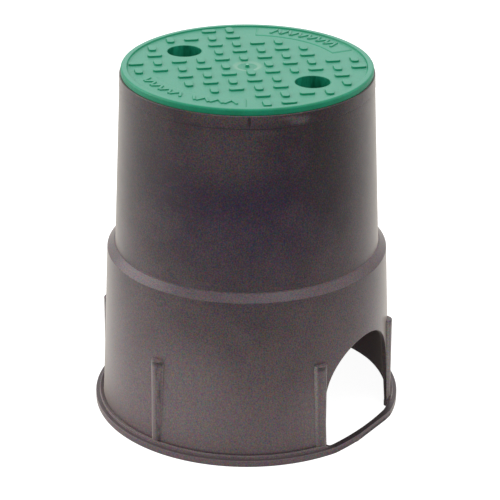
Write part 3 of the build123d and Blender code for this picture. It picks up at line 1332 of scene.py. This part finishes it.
    def patch_border(self) -> list[Point2]:
        """List the border of the patch of wall that holds a slot, from foot over top to foot.

        Returns:
            Pairs of angle and height.
        """
        heights = self.patch_heights()
        left = [(-self.patch_angle, z) for z in heights]
        step = self.patch_angle / self.patch_segments
        top = [(-self.patch_angle + step * k, self.patch_top)
               for k in range(1, 2 * self.patch_segments)]
        right = [(self.patch_angle, z) for z in reversed(heights)]
        return left + top + right

    def make_slot(self, side: int) -> None:
        """Mesh the patch of wall round one slot, with rounded edges.

        Args:
            side: 1 for the slot at +X, -1 for the one at -X.
        """
        border = self.patch_border()
        edge_outline = self.slot_outline(self.edge)
        surfaces = []
        for face in (self.outer, self.inner):
            rings = []
            for share in self.patch_rows:
                ring = []
                for (y, z), (angle, height) in zip(edge_outline, border):
                    start = asin(y / face(z))
                    turn = start + (angle - start) * share
                    level = z + (height - z) * share
                    radius = side * face(level)
                    ring.append((radius * cos(turn), radius * sin(turn), level))
                rings.append(self.shell.ring(ring))
            surfaces.append(rings)
        outside, inside = surfaces
        cut = []
        for k in range(1, self.cut_segments + 1):
            bend = pi / 2 * k / self.cut_segments
            cut.append(self.cut_ring(side, self.outer, 1 - cos(bend), 1 - sin(bend)))
        for k in range(self.cut_segments, 0, -1):
            bend = pi / 2 * k / self.cut_segments
            cut.append(self.cut_ring(side, self.inner, cos(bend) - 1, 1 - sin(bend)))
        self.shell.bridge_all(outside, closed=False)
        self.shell.bridge_all(inside, closed=False)
        self.shell.bridge_all([outside[0], *cut, inside[0]], closed=False)
        across = [*reversed(outside), *cut, *inside]
        self.shell.fill([ring[0] for ring in across])
        self.shell.fill([ring[-1] for ring in across])

    def cut_ring(
        self, side: int, face: Callable[[float], float], sink: float, swell: float
    ) -> list[int]:
        """Add one ring of the rounded cut through the wall.

        Args:
            side: 1 or -1.
            face: gives the radius of the wall's face at the cut's edge, for a height.
            sink: how far inward from that surface, as a share of the edge rounding.
            swell: how far outside the true outline, as a share of the edge rounding.

        Returns:
            Its point numbers.
        """
        ring = []
        for y, z in self.slot_outline(swell * self.edge):
            radius = face(z)
            x = sqrt(radius**2 - y**2) - sink * self.edge
            ring.append((side * x, side * y, z))
        return self.shell.ring(ring)

    def make_flange(self) -> None:
        """Mesh the flange and the low ring on it, in two halves between the slots."""
        inner = self.inner(self.top_of_foot)
        root = self.foot_radius - 0.3 * MM
        crest = self.foot_ring_radius - 0.7 * MM
        outline = rounded(
            [
                (inner + self.foot_chamfer, 0.0, 0.3 * MM),
                (self.flange_radius, 0.0, 0.35 * MM),
                (self.flange_radius, self.flange_thickness, 0.35 * MM),
                (self.foot_ring_radius + 0.1 * MM, self.flange_thickness - 0.1 * MM, 0.1 * MM),
                (self.foot_ring_radius, self.top_of_foot, 0.5 * MM),
                (crest, self.top_of_foot, 0.4 * MM),
                (self.foot_radius + 0.5 * MM, self.top_of_foot - self.foot_groove, 0.1 * MM),
                (self.foot_radius - 0.1 * MM, self.top_of_foot - self.foot_groove, 0.0),
                (root, self.top_of_foot - self.foot_groove, 0.0),
                (root, self.flange_thickness - 0.2 * MM, 0.0),
                (inner, self.flange_thickness - 0.2 * MM, 0.2 * MM),
                (inner, self.foot_chamfer, 0.4 * MM),
            ]
        )
        for side in (1, -1):
            columns = []
            for share, height in self.flange_turns():
                column = []
                for radius, level in outline:
                    if level < self.foot_chamfer and radius < inner + self.foot_chamfer * 1.1:
                        radius = inner + (radius - inner) * max(0.05, height)
                    start = asin(self.slot_half / min(radius, self.foot_radius))
                    angle = start + (pi - 2 * start) * share
                    spare = max(0.0, level - self.flange_thickness)
                    level -= spare * (1 - height)
                    column.append((radius * cos(angle), side * radius * sin(angle), level))
                columns.append(self.shell.ring(column))
            self.shell.bridge_all(columns)
            self.shell.fill(columns[0])
            self.shell.fill(columns[-1])

    def flange_turns(self) -> list[Point2]:
        """List the places of the flange's sections between two slots.

        Returns:
            Each one's share of the way, and how much of the ring's height stands there.
        """
        count = self.segments // 2
        reach = self.ring_fade / (pi - 2 * self.slot_angle)
        near = [reach * k / self.fade_segments for k in range(self.fade_segments)]
        even = [k / count for k in range(count + 1)]
        shares = near + [share for share in even if reach < share < 1 - reach]
        shares += [1 - share for share in reversed(near)]
        turns = []
        for share in shares:
            rise = min(1.0, min(share, 1 - share) / reach)
            turns.append((share, rise * rise * (3 - 2 * rise)))
        return turns

    def make_strips(self) -> None:
        """Mesh the two strips that tie the flange together below the slots."""
        for turn in (0.0, pi):
            columns = []
            for k in range(self.strip_segments + 1):
                share = self.strip_overlap * (2 * k / self.strip_segments - 1)
                angle = self.slot_angle * share
                columns.append(self.shell.ring([(r * cos(turn + angle), r * sin(turn + angle), z)
                                                for r, z in self.strip_section(share)]))
            self.shell.bridge_all(columns)
            self.shell.fill(columns[0])
            self.shell.fill(columns[-1])

    def strip_section(self, share: float) -> list[Point2]:
        """Outline one section of a strip; its inner corners run into the wall's inner face.

        Args:
            share: how far from the slot's middle, where 1 is the slot's side.

        Returns:
            Pairs of radius and height.
        """
        angle = self.slot_angle * share
        top = self.flange_thickness
        low, high = self.burr_levels
        face = self.strip_face(angle, 0.0)
        foot = self.strip_face(angle, self.burr_height)
        reach = self.strip_reach / cos(angle)
        corner = min(1.0, max(0.0, (abs(share) - self.strip_corner) / (1 - self.strip_corner)))
        back = face - self.strip_width
        back += (self.inner(top) + 0.2 * MM - back) * corner**2
        face, foot = min(face, reach), min(foot, reach)
        return rounded(
            [
                (back, 0.0, 0.4 * MM),
                (foot, 0.0, 0.2 * MM),
                (foot, low, 0.2 * MM),
                (face, high, 0.2 * MM),
                (face, top, 0.35 * MM),
                (back, top, 0.3 * MM),
            ]
        )

    def strip_face(self, angle: float, burr: float) -> float:
        """Work out how far a strip's outer face, which bows in, stands from the axis.

        Args:
            angle: the angle from the slot's middle.
            burr: how far its burr stands out.

        Returns:
            The radius there.
        """
        away = (angle - self.strip_bow_middle) / self.strip_bow_half
        bow = self.strip_bow * max(0.0, 1 - away**2)
        burr *= exp(-(((angle - self.burr_angle) / self.burr_spread) ** 2))
        return self.flange_radius - max(self.strip_setback, bow - burr)

    def rib_shape(self) -> Shell:
        """Mesh one upright rib: a half-round bar whose back lies within the wall.

        Returns:
            The rib, with its bar's axis on the box's axis and its face towards +X.
        """
        shape = Shell()
        levels = [(self.wall_foot, 0.0)]
        levels += [(self.rib_top - below, shrink) for below, shrink in self.rib_crown]
        rings = []
        for level, shrink in levels:
            radius = self.rib_radius - self.rib_draft * level - shrink
            chord = (self.outer(level) - self.wall / 2 - self.rib_axis) / radius
            reach = pi / 2 - asin(max(-1.0, min(1.0, chord)))
            steps = range(self.rib_segments + 1)
            bends = [reach * (2 * k / self.rib_segments - 1) for k in steps]
            rings.append(shape.ring([(radius * cos(a), radius * sin(a), level) for a in bends]))
        shape.bridge_all(rings)
        shape.fill(rings[0])
        shape.fill(rings[-1])
        return shape

    def make_ribs(self, repeats: Repeats, finish: Finish) -> Piece:
        """Set the six ribs round the lower wall.

        Args:
            repeats: the tree that sets copies.
            finish: the black plastic.

        Returns:
            The ribs as one piece.
        """
        axis = self.rib_axis
        slot_step = 2 * self.slot_rib_angle
        rows = [
            Row(2, axis, -self.slot_rib_angle, slot_step, slot_half=self.slot_half),
            Row(2, axis, pi - self.slot_rib_angle, slot_step, slot_half=self.slot_half),
            Row(2, axis, self.side_rib_angle, pi),
        ]
        return settle(repeats.make("body_ribs", self.rib_shape(), finish, rows))

    def make_guides(self, repeats: Repeats, finish: Finish) -> Piece:
        """Set the guides inside the collar that centre the lid.

        Args:
            repeats: the tree that sets copies.
            finish: the black plastic.

        Returns:
            The guides as one piece.
        """
        shape = Shell()
        length = self.guide_depth + self.wall / 2
        outline = rounded_rectangle(length, self.guide_thickness, 0.35 * MM)
        outline = [(x + length / 2, y) for x, y in outline]
        bottom = self.height - self.band_height
        top = self.height - self.guide_gap
        prism(shape, outline, [(0.4 * MM, bottom), (0.0, bottom + 0.4 * MM), (0.0, top - 0.6 * MM),
                               (0.18 * MM, top - 0.18 * MM), (0.6 * MM, top)])
        start = self.collar_radius - self.wall - self.guide_depth
        step = FULL_TURN / self.guide_count
        rows = [Row(self.guide_count, start, self.guide_first, step)]
        return settle(repeats.make("collar_guides", shape, finish, rows))

    def make(self, repeats: Repeats, finishes: dict[str, Finish]) -> list[Piece]:
        """Mesh and dress the whole box.

        Args:
            repeats: the tree that sets copies.
            finishes: the black plastic of the wall and of the ribs, as "wall" and "rib".

        Returns:
            Its pieces.
        """
        wall, rib = finishes["wall"], finishes["rib"]
        self.make_wall()
        self.make_flange()
        self.make_strips()
        shell = settle(self.shell.piece("body_shell", wall))
        return [shell, self.make_ribs(repeats, rib), self.make_guides(repeats, wall)]


class TreadField(Pattern):
    """Lays the tread pads in a basket weave."""

    SIZES = ("Pitch", "Turn", "Level", "Field Radius", "Hole Offset", "Hole Gap",
             "Plate Radius", "Plate Angle")

    def __init__(self, name: str, cells: int) -> None:
        """Build the tree.

        Args:
            name: its name.
            cells: lattice points along each side of the field.
        """
        self.cells = cells
        super().__init__(name)

    def scatter(self, board: Board, sizes: Sockets, shape: Socket) -> Socket:
        """Lay the pads on a square lattice, every other one turned by a right angle.

        Args:
            board: the tree's nodes.
            sizes: the tree's inputs by name.
            shape: the pad.

        Returns:
            The pads.
        """
        span = board.math("MULTIPLY", sizes["Pitch"], float(self.cells - 1))
        values = {"Size X": span, "Size Y": span, "Vertices X": self.cells,
                  "Vertices Y": self.cells}
        grid = board.add("GeometryNodeMeshGrid", values).outputs[0]
        index = board.add("GeometryNodeInputIndex").outputs[0]
        row = board.math("FLOOR", board.math("DIVIDE", index, float(self.cells)))
        column = board.math("MULTIPLY_ADD", row, -float(self.cells), index)
        odd = board.math("MODULO", board.math("ADD", row, column), 2.0)
        values = {"Geometry": grid, "Name": "odd", "Value": odd}
        marked = board.add("GeometryNodeStoreNamedAttribute", values, data_type="FLOAT").outputs[0]
        turn, lift = board.join(z=sizes["Turn"]), board.join(z=sizes["Level"])
        values = {"Geometry": marked, "Rotation": turn, "Translation": lift}
        laid = board.add("GeometryNodeTransform", values).outputs[0]
        values = {"Geometry": laid, "Selection": self.bare(board, sizes)}
        kept = board.add("GeometryNodeDeleteGeometry", values, domain="POINT").outputs[0]
        named = board.add("GeometryNodeInputNamedAttribute", {"Name": "odd"}, data_type="FLOAT")
        heading = board.math("MULTIPLY_ADD", named.outputs[0], pi / 2, sizes["Turn"])
        values = {"Points": kept, "Instance": shape, "Rotation": board.join(z=heading)}
        return board.add("GeometryNodeInstanceOnPoints", values).outputs[0]

    @staticmethod
    def bare(board: Board, sizes: Sockets) -> Socket:
        """Mark the lattice points that carry no pad.

        Args:
            board: the tree's nodes.
            sizes: the tree's inputs by name.

        Returns:
            True outside the field, at its middle, beside a finger hole and at a raised plate.
        """
        place = board.add("GeometryNodeInputPosition").outputs[0]
        parts = board.split(place)
        across = board.math("ABSOLUTE", parts[0])
        along = board.math("ABSOLUTE", parts[1])
        radius = board.length(board.join(across, along))
        outside = board.math("GREATER_THAN", radius, sizes["Field Radius"])
        middle = board.math("LESS_THAN", radius, board.math("MULTIPLY", sizes["Pitch"], 0.5))
        aside = board.math("SUBTRACT", across, sizes["Hole Offset"])
        beside = board.length(board.join(aside, along))
        by_hole = board.math("LESS_THAN", beside, sizes["Hole Gap"])
        slant = board.math("ARCTAN2", across, along)
        by_plate = board.math(
            "MULTIPLY",
            board.math("GREATER_THAN", radius, sizes["Plate Radius"]),
            board.math("LESS_THAN", slant, sizes["Plate Angle"]),
        )
        reasons = board.math("ADD", board.math("ADD", outside, middle),
                             board.math("ADD", by_hole, by_plate))
        return board.math("GREATER_THAN", reasons, 0.5)

    def make(self, shape: Shell, finish: Finish, sizes: Sequence[float]) -> Piece:
        """Lay the field.

        Args:
            shape: one pad, lying along +X at the origin.
            finish: its material.
            sizes: the values of the tree's named sizes, in their order.

        Returns:
            The pads as one plain object.
        """
        pattern = settle(shape.piece("pad_shape"))
        part = self.run("lid_tread", pattern, finish, sizes)
        bpy.data.objects.remove(pattern)
        return settle(part)


@dataclass(frozen=True)
class Grips:
    """One run of plain grip bars, slanted to and fro, along an edge plate."""

    count: int
    first: float
    step: float
    radius: float
    length: float
    width: float
    lean: float

    def lay(
        self, repeats: Repeats, finish: Finish, level: float, height: float
    ) -> list[Piece]:
        """Mesh the run.

        Args:
            repeats: the tree that sets copies.
            finish: the green plastic.
            level: the top of the plate.
            height: how far the bars stand out.

        Returns:
            One piece for each way the bars slant.
        """
        parts = []
        for odd in (0, 1):
            lean = self.lean * (1 - 2 * odd)
            outline = [(x * cos(lean) - y * sin(lean), x * sin(lean) + y * cos(lean))
                       for x, y in rounded_rectangle(self.length, self.width, 0.6 * MM, steps=3)]
            shape = Shell()
            prism(shape, outline, [(-0.1 * MM, -0.2 * MM), (0.0, 0.1 * MM),
                                   (0.06 * MM, 0.82 * height), (0.3 * MM, height)])
            count = (self.count + 1 - odd) // 2
            row = Row(count, self.radius, self.first + self.step * odd, 2 * self.step, level)
            parts.append(repeats.make("lid_grips", shape, finish, [row]))
        return parts


@dataclass
class Lid:
    """The green lid: rim, panel, tread, edge plates, finger holes, and its ribbed underside."""

    seat: float = 229.7 * MM
    radius: float = 80.0 * MM
    edge_height: float = 4.3 * MM
    rim_width: float = 4.4 * MM
    rim_slope: float = 0.5 * MM
    recess: float = 1.3 * MM
    skirt_radius: float = 74.4 * MM
    skirt_wall: float = 2.2 * MM
    skirt_depth: float = 9.0 * MM
    web_count: int = 8
    web_thickness: float = 2.0 * MM
    web_depth: float = 6.0 * MM
    hub_radius: float = 11.0 * MM
    hole_radius: float = 11.0 * MM
    hole_offset: float = 49.5 * MM
    sleeve_wall: float = 2.0 * MM
    sleeve_lip: float = 0.75 * MM
    overlap: float = 0.3 * MM
    pad_length: float = 9.4 * MM
    pad_width: float = 4.9 * MM
    pad_corner: float = 2.0 * MM
    pad_pitch: float = 13.8 * MM
    lattice_turn: float = radians(45.0)
    field_radius: float = 71.0 * MM
    hole_gap: float = 15.0 * MM
    plate_height: float = 0.5 * MM
    grips: tuple[Grips, ...] = (
        Grips(14, radians(70.3), radians(3.05), 68.4 * MM, 9.4 * MM, 2.0 * MM, radians(24.0)),
        Grips(9, radians(238.4), radians(3.7), 67.4 * MM, 7.0 * MM, 1.9 * MM, radians(33.0)),
        Grips(7, radians(276.6), radians(3.7), 67.4 * MM, 6.4 * MM, 1.8 * MM, radians(33.0)),
    )
    north_inner: float = 60.0 * MM
    north_outer: float = 74.0 * MM
    north_start: float = radians(59.5)
    north_sweep: float = radians(60.5)
    south_inner: float = 59.8 * MM
    south_start: float = radians(235.6)
    south_sweep: float = radians(69.0)
    plate_corner: float = 0.8 * MM
    plate_segments: int = 48
    plate_pad_radius: float = 52.0 * MM
    plate_pad_angle: float = radians(36.0)
    dimple_radius: float = 9.0 * MM
    dimple_depth: float = 0.6 * MM
    dimple_segments: int = 8
    pip_base: float = 1.5 * MM
    pip_tip: float = 1.0 * MM
    pip_height: float = 1.85 * MM
    segments: int = 240
    hole_segments: int = 72

    def __post_init__(self) -> None:
        """Work out the sizes that follow from the others."""
        self.top = self.seat + self.edge_height
        self.panel = self.top - self.recess
        self.panel_radius = self.radius - self.rim_width
        self.skirt_foot = self.seat - self.skirt_depth
        self.holes = ((self.hole_offset, 0.0), (-self.hole_offset, 0.0))

    def make_rim(self, finish: Finish) -> Piece:
        """Mesh the raised rim and the lid's side.

        Args:
            finish: the green plastic.

        Returns:
            The rim.
        """
        shell = Shell()
        inner = self.panel_radius
        outline = rounded(
            [
                (inner - 0.9 * MM, self.panel - 0.3 * MM, 0.0),
                (inner - 0.5 * MM, self.panel + 0.02 * MM, 0.3 * MM),
                (inner + 0.1 * MM, self.panel + 0.2 * MM, 0.4 * MM),
                (inner + self.rim_slope, self.top, 0.4 * MM),
                (self.radius, self.top, 1.5 * MM),
                (self.radius, self.seat + 0.9 * MM, 0.2 * MM),
                (self.radius - 0.12 * MM, self.seat + 0.75 * MM, 0.1 * MM),
                (self.radius, self.seat + 0.6 * MM, 0.15 * MM),
                (self.radius - 0.1 * MM, self.seat, 0.4 * MM),
                (inner - 0.9 * MM, self.seat, 0.0),
            ]
        )
        lathe(shell, outline, self.segments)
        return settle(shell.piece("lid_rim", finish))

    def make_panel(self, finish: Finish) -> Piece:
        """Mesh the panel with its dimple and pip.

        Args:
            finish: the green plastic.

        Returns:
            The panel.
        """
        shell = Shell()
        reach = self.panel_radius + 0.2 * MM
        lip = self.hole_radius + 0.7 * MM
        sides = [(reach, self.panel), (reach, self.seat + 0.02 * MM)]
        top, bottom = lathe(shell, sides, self.segments, loop=False)
        walls = []
        for centre in self.holes:
            hole = [(lip, self.panel), (lip, self.seat + 0.02 * MM)]
            walls.append(lathe(shell, hole, self.hole_segments, centre, loop=False))
        floor = self.panel - self.dimple_depth
        dish = [(self.dimple_radius, self.panel)]
        for k in range(1, self.dimple_segments + 1):
            share = 1 - k / self.dimple_segments
            sag = self.dimple_depth * (1 - share**2)
            dish.append((self.pip_base + (self.dimple_radius - self.pip_base) * share,
                         self.panel - sag))
        dish.append(((self.pip_base + self.pip_tip) / 2, floor + self.pip_height / 2))
        dish.append((self.pip_tip, floor + self.pip_height * 0.95))
        dish.append((self.pip_tip / 2, floor + self.pip_height))
        rings = lathe(shell, dish, self.hole_segments, loop=False)
        shell.fill(rings[-1])
        shell.fill(top, walls[0][0], walls[1][0], rings[0])
        shell.fill(bottom, walls[0][1], walls[1][1])
        return settle(shell.piece("lid_panel", finish))

    def make_sleeves(self, finish: Finish) -> Piece:
        """Mesh the lips and sleeves of the two finger holes.

        Args:
            finish: the green plastic.

        Returns:
            The sleeves.
        """
        shell = Shell()
        outer = self.hole_radius + self.sleeve_wall
        outline = rounded(
            [
                (outer, self.panel - 0.5 * MM, 0.0),
                (self.hole_radius + self.sleeve_lip, self.panel - 0.5 * MM, 0.0),
                (self.hole_radius + self.sleeve_lip, self.panel + 0.04 * MM, 0.1 * MM),
                (self.hole_radius, self.panel + 0.04 * MM, 0.6 * MM),
                (self.hole_radius, self.skirt_foot, 0.4 * MM),
                (outer, self.skirt_foot, 0.4 * MM),
            ]
        )
        for centre in self.holes:
            lathe(shell, outline, self.hole_segments, centre)
        return settle(shell.piece("lid_sleeves", finish))

    def pad_shape(self) -> Shell:
        """Mesh one tread pad with a soft top edge and a small flare at its foot.

        Returns:
            The pad, lying along +X.
        """
        shape = Shell()
        outline = rounded_rectangle(self.pad_length, self.pad_width, self.pad_corner, steps=5)
        height = self.recess
        steps = [
            (-0.12 * MM, -0.25 * MM),
            (-0.12 * MM, 0.0),
            (0.0, 0.12 * MM),
            (0.03 * MM, 0.84 * height),
            (0.10 * MM, 0.95 * height),
            (0.28 * MM, height),
        ]
        prism(shape, outline, steps)
        return shape

    def make_tread(self, field_tree: TreadField, finish: Finish) -> Piece:
        """Lay the tread pads over the panel.

        Args:
            field_tree: the tree that lays them.
            finish: the green plastic.

        Returns:
            The pads as one piece.
        """
        sizes = (self.pad_pitch, self.lattice_turn, self.panel, self.field_radius,
                 self.hole_offset, self.hole_gap, self.plate_pad_radius, self.plate_pad_angle)
        return field_tree.make(self.pad_shape(), finish, sizes)

    def plate_outline(
        self, inner: float, outer: float, start: float, sweep: float
    ) -> list[Point2]:
        """Outline one raised plate with rounded corners, anticlockwise.

        Args:
            inner: its inner radius.
            outer: its outer radius.
            start: the angle where it starts.
            sweep: the angle that it spans.

        Returns:
            Its points.
        """
        count = self.plate_segments
        turns = [start + sweep * k / count for k in range(count + 1)]
        corner = self.plate_corner
        far = [(outer * cos(a), outer * sin(a), corner) for a in turns]
        near = [(inner * cos(a), inner * sin(a), corner) for a in reversed(turns)]
        return rounded(far + near, steps=2)

    def make_plates(self, finish: Finish) -> Piece:
        """Mesh the two raised plates at the lid's edge.

        Args:
            finish: the green plastic.

        Returns:
            The plates as one piece.
        """
        shell = Shell()
        plates = [
            (self.north_inner, self.north_outer, self.north_start, self.north_sweep),
            (self.south_inner, self.panel_radius + 0.1 * MM, self.south_start, self.south_sweep),
        ]
        base = self.panel
        for plate in plates:
            prism(
                shell,
                self.plate_outline(*plate),
                [
                    (-0.4 * MM, base - 0.2 * MM),
                    (-0.3 * MM, base + 0.02 * MM),
                    (0.15 * MM, base + 0.45 * self.plate_height),
                    (0.6 * MM, base + 0.86 * self.plate_height),
                    (1.1 * MM, base + self.plate_height),
                ],
            )
        return settle(shell.piece("lid_edge_plates", finish))

    def make_grips(self, repeats: Repeats, finish: Finish) -> Piece:
        """Set plain grip bars in an arc on each plate.

        Args:
            repeats: the tree that sets copies.
            finish: the green plastic.

        Returns:
            The bars as one piece.
        """
        height = self.recess - self.plate_height
        level = self.panel + self.plate_height
        runs = [run.lay(repeats, finish, level, height) for run in self.grips]
        return settle(merge("lid_grips", [part for run in runs for part in run]))

    def make_skirt(self, finish: Finish) -> Piece:
        """Mesh the skirt that drops into the collar, and the hub of the webs.

        Args:
            finish: the green plastic.

        Returns:
            Both rings as one piece.
        """
        shell = Shell()
        top = self.seat + self.overlap
        inner = self.skirt_radius - self.skirt_wall
        hub_foot = self.seat - self.web_depth
        hub_inner = self.hub_radius - self.web_thickness
        lathe(shell, rounded([(inner, self.skirt_foot, 0.5 * MM), (inner, top, 0.0),
                              (self.skirt_radius, top, 0.0),
                              (self.skirt_radius, self.skirt_foot, 0.8 * MM)]), self.segments)
        lathe(shell, rounded([(hub_inner, hub_foot, 0.4 * MM), (hub_inner, top, 0.0),
                              (self.hub_radius, top, 0.0),
                              (self.hub_radius, hub_foot, 0.4 * MM)]), self.hole_segments)
        return settle(shell.piece("lid_skirt", finish))

    def make_webs(self, repeats: Repeats, finish: Finish) -> Piece:
        """Set the stiffening webs from the hub to the skirt, broken by the sleeves.

        Args:
            repeats: the tree that sets copies.
            finish: the green plastic.

        Returns:
            The webs as one piece.
        """
        shape = Shell()
        half = self.web_thickness / 2
        outline = [(0.0, -half), (1.0, -half), (1.0, half), (0.0, half)]
        foot = self.seat - self.web_depth
        rings = []
        for level, trim in ((self.seat + self.overlap, 0.0), (foot + 0.4 * MM, 0.0),
                            (foot + 0.1 * MM, 0.12 * MM), (foot, 0.4 * MM)):
            squeeze = (half - trim) / half
            rings.append(shape.ring([(x, y * squeeze, level) for x, y in outline]))
        shape.bridge_all(rings)
        shape.fill(rings[0])
        shape.fill(rings[-1])
        start = self.hub_radius - half
        end = self.skirt_radius - self.skirt_wall / 2
        step = FULL_TURN / self.web_count
        sleeve = self.hole_radius + self.sleeve_wall / 2
        near = self.hole_offset - sleeve
        far = self.hole_offset + sleeve
        side_count = self.web_count // 2 - 1
        rows = [
            Row(side_count, start, step, step, stretch=end - start),
            Row(side_count, start, pi + step, step, stretch=end - start),
            Row(2, start, 0.0, pi, stretch=near - start),
            Row(2, far, 0.0, pi, stretch=end - far),
        ]
        return settle(repeats.make("lid_webs", shape, finish, rows))

    def make(self, repeats: Repeats, finishes: dict[str, Finish]) -> list[Piece]:
        """Mesh and dress the whole lid.

        Args:
            repeats: the tree that sets copies.
            finishes: the green plastic of the lid and of its sleeves, as "lid" and "sleeve".

        Returns:
            Its pieces.
        """
        green = finishes["lid"]
        cells = 2 * (int(self.field_radius // self.pad_pitch) + 1) + 1
        return [
            self.make_panel(green),
            self.make_rim(green),
            self.make_sleeves(finishes["sleeve"]),
            self.make_tread(TreadField("tread_field", cells), green),
            self.make_plates(green),
            self.make_grips(repeats, green),
            self.make_skirt(green),
            self.make_webs(repeats, green),
        ]


@dataclass(frozen=True)
class Lamp:
    """One soft square lamp: its name, its place, the side of its square, and its watts."""

    name: str
    place: Point3
    size: float
    power: float

    def hang(self, target: Point3) -> None:
        """Hang the lamp.

        Args:
            target: the point that it faces.
        """
        data = bpy.data.lights.new(self.name, "AREA")
        data.size = self.size
        data.energy = self.power
        lamp = bpy.data.objects.new(self.name, data)
        bpy.context.scene.collection.objects.link(lamp)
        lamp.location = self.place
        aim = Vector(self.place) - Vector(target)
        lamp.rotation_euler = aim.to_track_quat("Z", "Y").to_euler()


LAMPS = (
    Lamp("overhead", (0.2, 0.1, 1.6), 1.2, 9.0),
    Lamp("left", (-1.9, -0.8, 1.1), 2.0, 28.0),
    Lamp("right", (1.6, 1.1, 1.0), 2.0, 5.0),
)


@dataclass
class Studio:
    """The pale floor, the soft light and the camera."""

    azimuth: float = radians(35.0)
    elevation: float = radians(24.787)
    distance: float = 1348.3 * MM
    target_side: float = 2.145 * MM
    target_height: float = 104.80 * MM
    roll: float = radians(0.218)
    focal_pixels: float = 2050.7
    image_pixels: float = 500.0
    sensor_width: float = 36.0
    clip_end: float = 100.0
    floor_size: float = 12.0
    floor_glow: float = 0.94
    floor_colour: Colour = (0.4, 0.4, 0.4, 1.0)
    floor_roughness: float = 0.9
    mirrored_edge: Point2 = (95.0 * MM, 140.0 * MM)
    mirrored_round: Point2 = (450.0 * MM, 100.0 * MM)
    mirrored_front: Point2 = (450.0 * MM, -50.0 * MM)
    mirrored_shares: Point2 = (0.35, 0.5)
    sky_colour: Colour = (1.0, 1.0, 1.0, 1.0)
    sky_light: float = 0.6

    def make_camera(self) -> None:
        """Set the camera at the photograph's viewing angle."""
        data = bpy.data.cameras.new("camera")
        data.sensor_width = self.sensor_width
        data.lens = self.focal_pixels / self.image_pixels * self.sensor_width
        data.clip_end = self.clip_end
        camera = bpy.data.objects.new("camera", data)
        bpy.context.scene.collection.objects.link(camera)
        side = Vector((cos(self.azimuth), sin(self.azimuth), 0.0))
        front = Vector((sin(self.azimuth), -cos(self.azimuth), 0.0))
        back = front * cos(self.elevation) + Vector((0.0, 0.0, sin(self.elevation)))
        target = side * self.target_side + Vector((0.0, 0.0, self.target_height))
        camera.location = target + back * self.distance
        camera.rotation_euler = back.to_track_quat("Z", "Y").to_euler()
        camera.rotation_euler.rotate_axis("Z", self.roll)
        bpy.context.scene.camera = camera

    def make_floor(self) -> None:
        """Lay a pale floor that looks white and keeps the object's shadow."""
        half = self.floor_size / 2
        shell = Shell()
        corners = shell.ring([(-half, -half, 0.0), (half, -half, 0.0),
                              (half, half, 0.0), (-half, half, 0.0)])
        shell.faces.append(tuple(corners))
        floor = shell.piece("floor")
        material = bpy.data.materials.new("pale_floor")
        material.use_nodes = True
        board = Board(material.node_tree)
        nodes = material.node_tree.nodes
        shader = nodes["Principled BSDF"]
        shader.inputs["Base Color"].default_value = self.floor_colour
        shader.inputs["Roughness"].default_value = self.floor_roughness
        shader.inputs["Specular IOR Level"].default_value = 0.0
        path = board.add("ShaderNodeLightPath").outputs
        seen = board.math("MULTIPLY", path["Is Camera Ray"], self.floor_glow)
        mirrored = board.math("MULTIPLY", path["Is Glossy Ray"], self.mirrored(board))
        strength = board.math("ADD", mirrored, seen)
        glow = board.add("ShaderNodeEmission", {"Strength": strength}).outputs[0]
        both = board.add("ShaderNodeAddShader", {0: shader.outputs[0], 1: glow}).outputs[0]
        board.tree.links.new(both, nodes["Material Output"].inputs[0])
        material.cycles.emission_sampling = "NONE"
        floor.data.materials.append(material)

    def mirrored(self, board: Board) -> Socket:
        """Shade the floor as the object mirrors it.

        It is dark below the object, and fades with distance, most of all towards the viewer.

        Args:
            board: the floor material's nodes.

        Returns:
            The glow that glossy rays meet.
        """
        place = board.add("ShaderNodeTexCoord").outputs["Object"]
        parts = board.split(place)
        front = board.math("MULTIPLY", parts[0], cos(self.azimuth))
        front = board.math("MULTIPLY_ADD", parts[1], -sin(self.azimuth), front)
        away = board.length(place)
        open_floor = board.ramp(away, *self.mirrored_edge)
        round_share, front_share = self.mirrored_shares
        near = board.math("MULTIPLY", board.ramp(away, *self.mirrored_round), round_share)
        beside = board.math("MULTIPLY", board.ramp(front, *self.mirrored_front), front_share)
        return board.math("MULTIPLY", board.math("ADD", near, beside), open_floor)

    def make_world(self) -> None:
        """Light the scene from all round, and show the sky at full strength where it is seen."""
        world = bpy.data.worlds.new("studio")
        bpy.context.scene.world = world
        world.use_nodes = True
        board = Board(world.node_tree)
        back = world.node_tree.nodes["Background"]
        path = board.add("ShaderNodeLightPath").outputs
        seen = board.math("MAXIMUM", path["Is Camera Ray"],
                          board.math("MAXIMUM", path["Is Glossy Ray"], path["Is Transmission Ray"]))
        strength = board.math("MULTIPLY_ADD", seen, 1 - self.sky_light, self.sky_light)
        world.cycles.sampling_method = "NONE"
        board.tree.links.new(strength, back.inputs["Strength"])
        back.inputs["Color"].default_value = self.sky_colour

    def make(self) -> None:
        """Build the whole studio."""
        bpy.context.scene.view_settings.view_transform = "Standard"
        self.make_camera()
        self.make_floor()
        self.make_world()
        for lamp in LAMPS:
            lamp.hang((0.0, 0.0, self.target_height))


def place(pieces: Sequence[Piece], body: Body, slot: Slot, node: str) -> None:
    """Tie finished pieces to their body, hide the CAD node they stand for, and report them.

    Args:
        pieces: the pieces.
        body: what they move with.
        slot: the record's material slot; not used.
        node: the CAD node they stand for.
    """
    for piece in pieces:
        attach(piece, body.value)
        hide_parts(node)
        log.info("%s: %d faces", piece.name, len(piece.data.polygons))


def main() -> None:
    """Build the studio, the box and the lid in order."""
    logging.basicConfig(level=logging.INFO)
    Studio().make()
    blacks = {"wall": BLACK_WALL.make(), "rib": BLACK_RIB.make()}
    greens = {"lid": GREEN_LID.make(), "sleeve": GREEN_SLEEVE.make()}
    repeats = Repeats("repeats")
    place(BoxBody().make(repeats, blacks), Body.BOX, Slot.BLACK, "box_body")
    place(Lid().make(repeats, greens), Body.LID, Slot.GREEN, "lid")


if __name__ == "__main__":
    main()
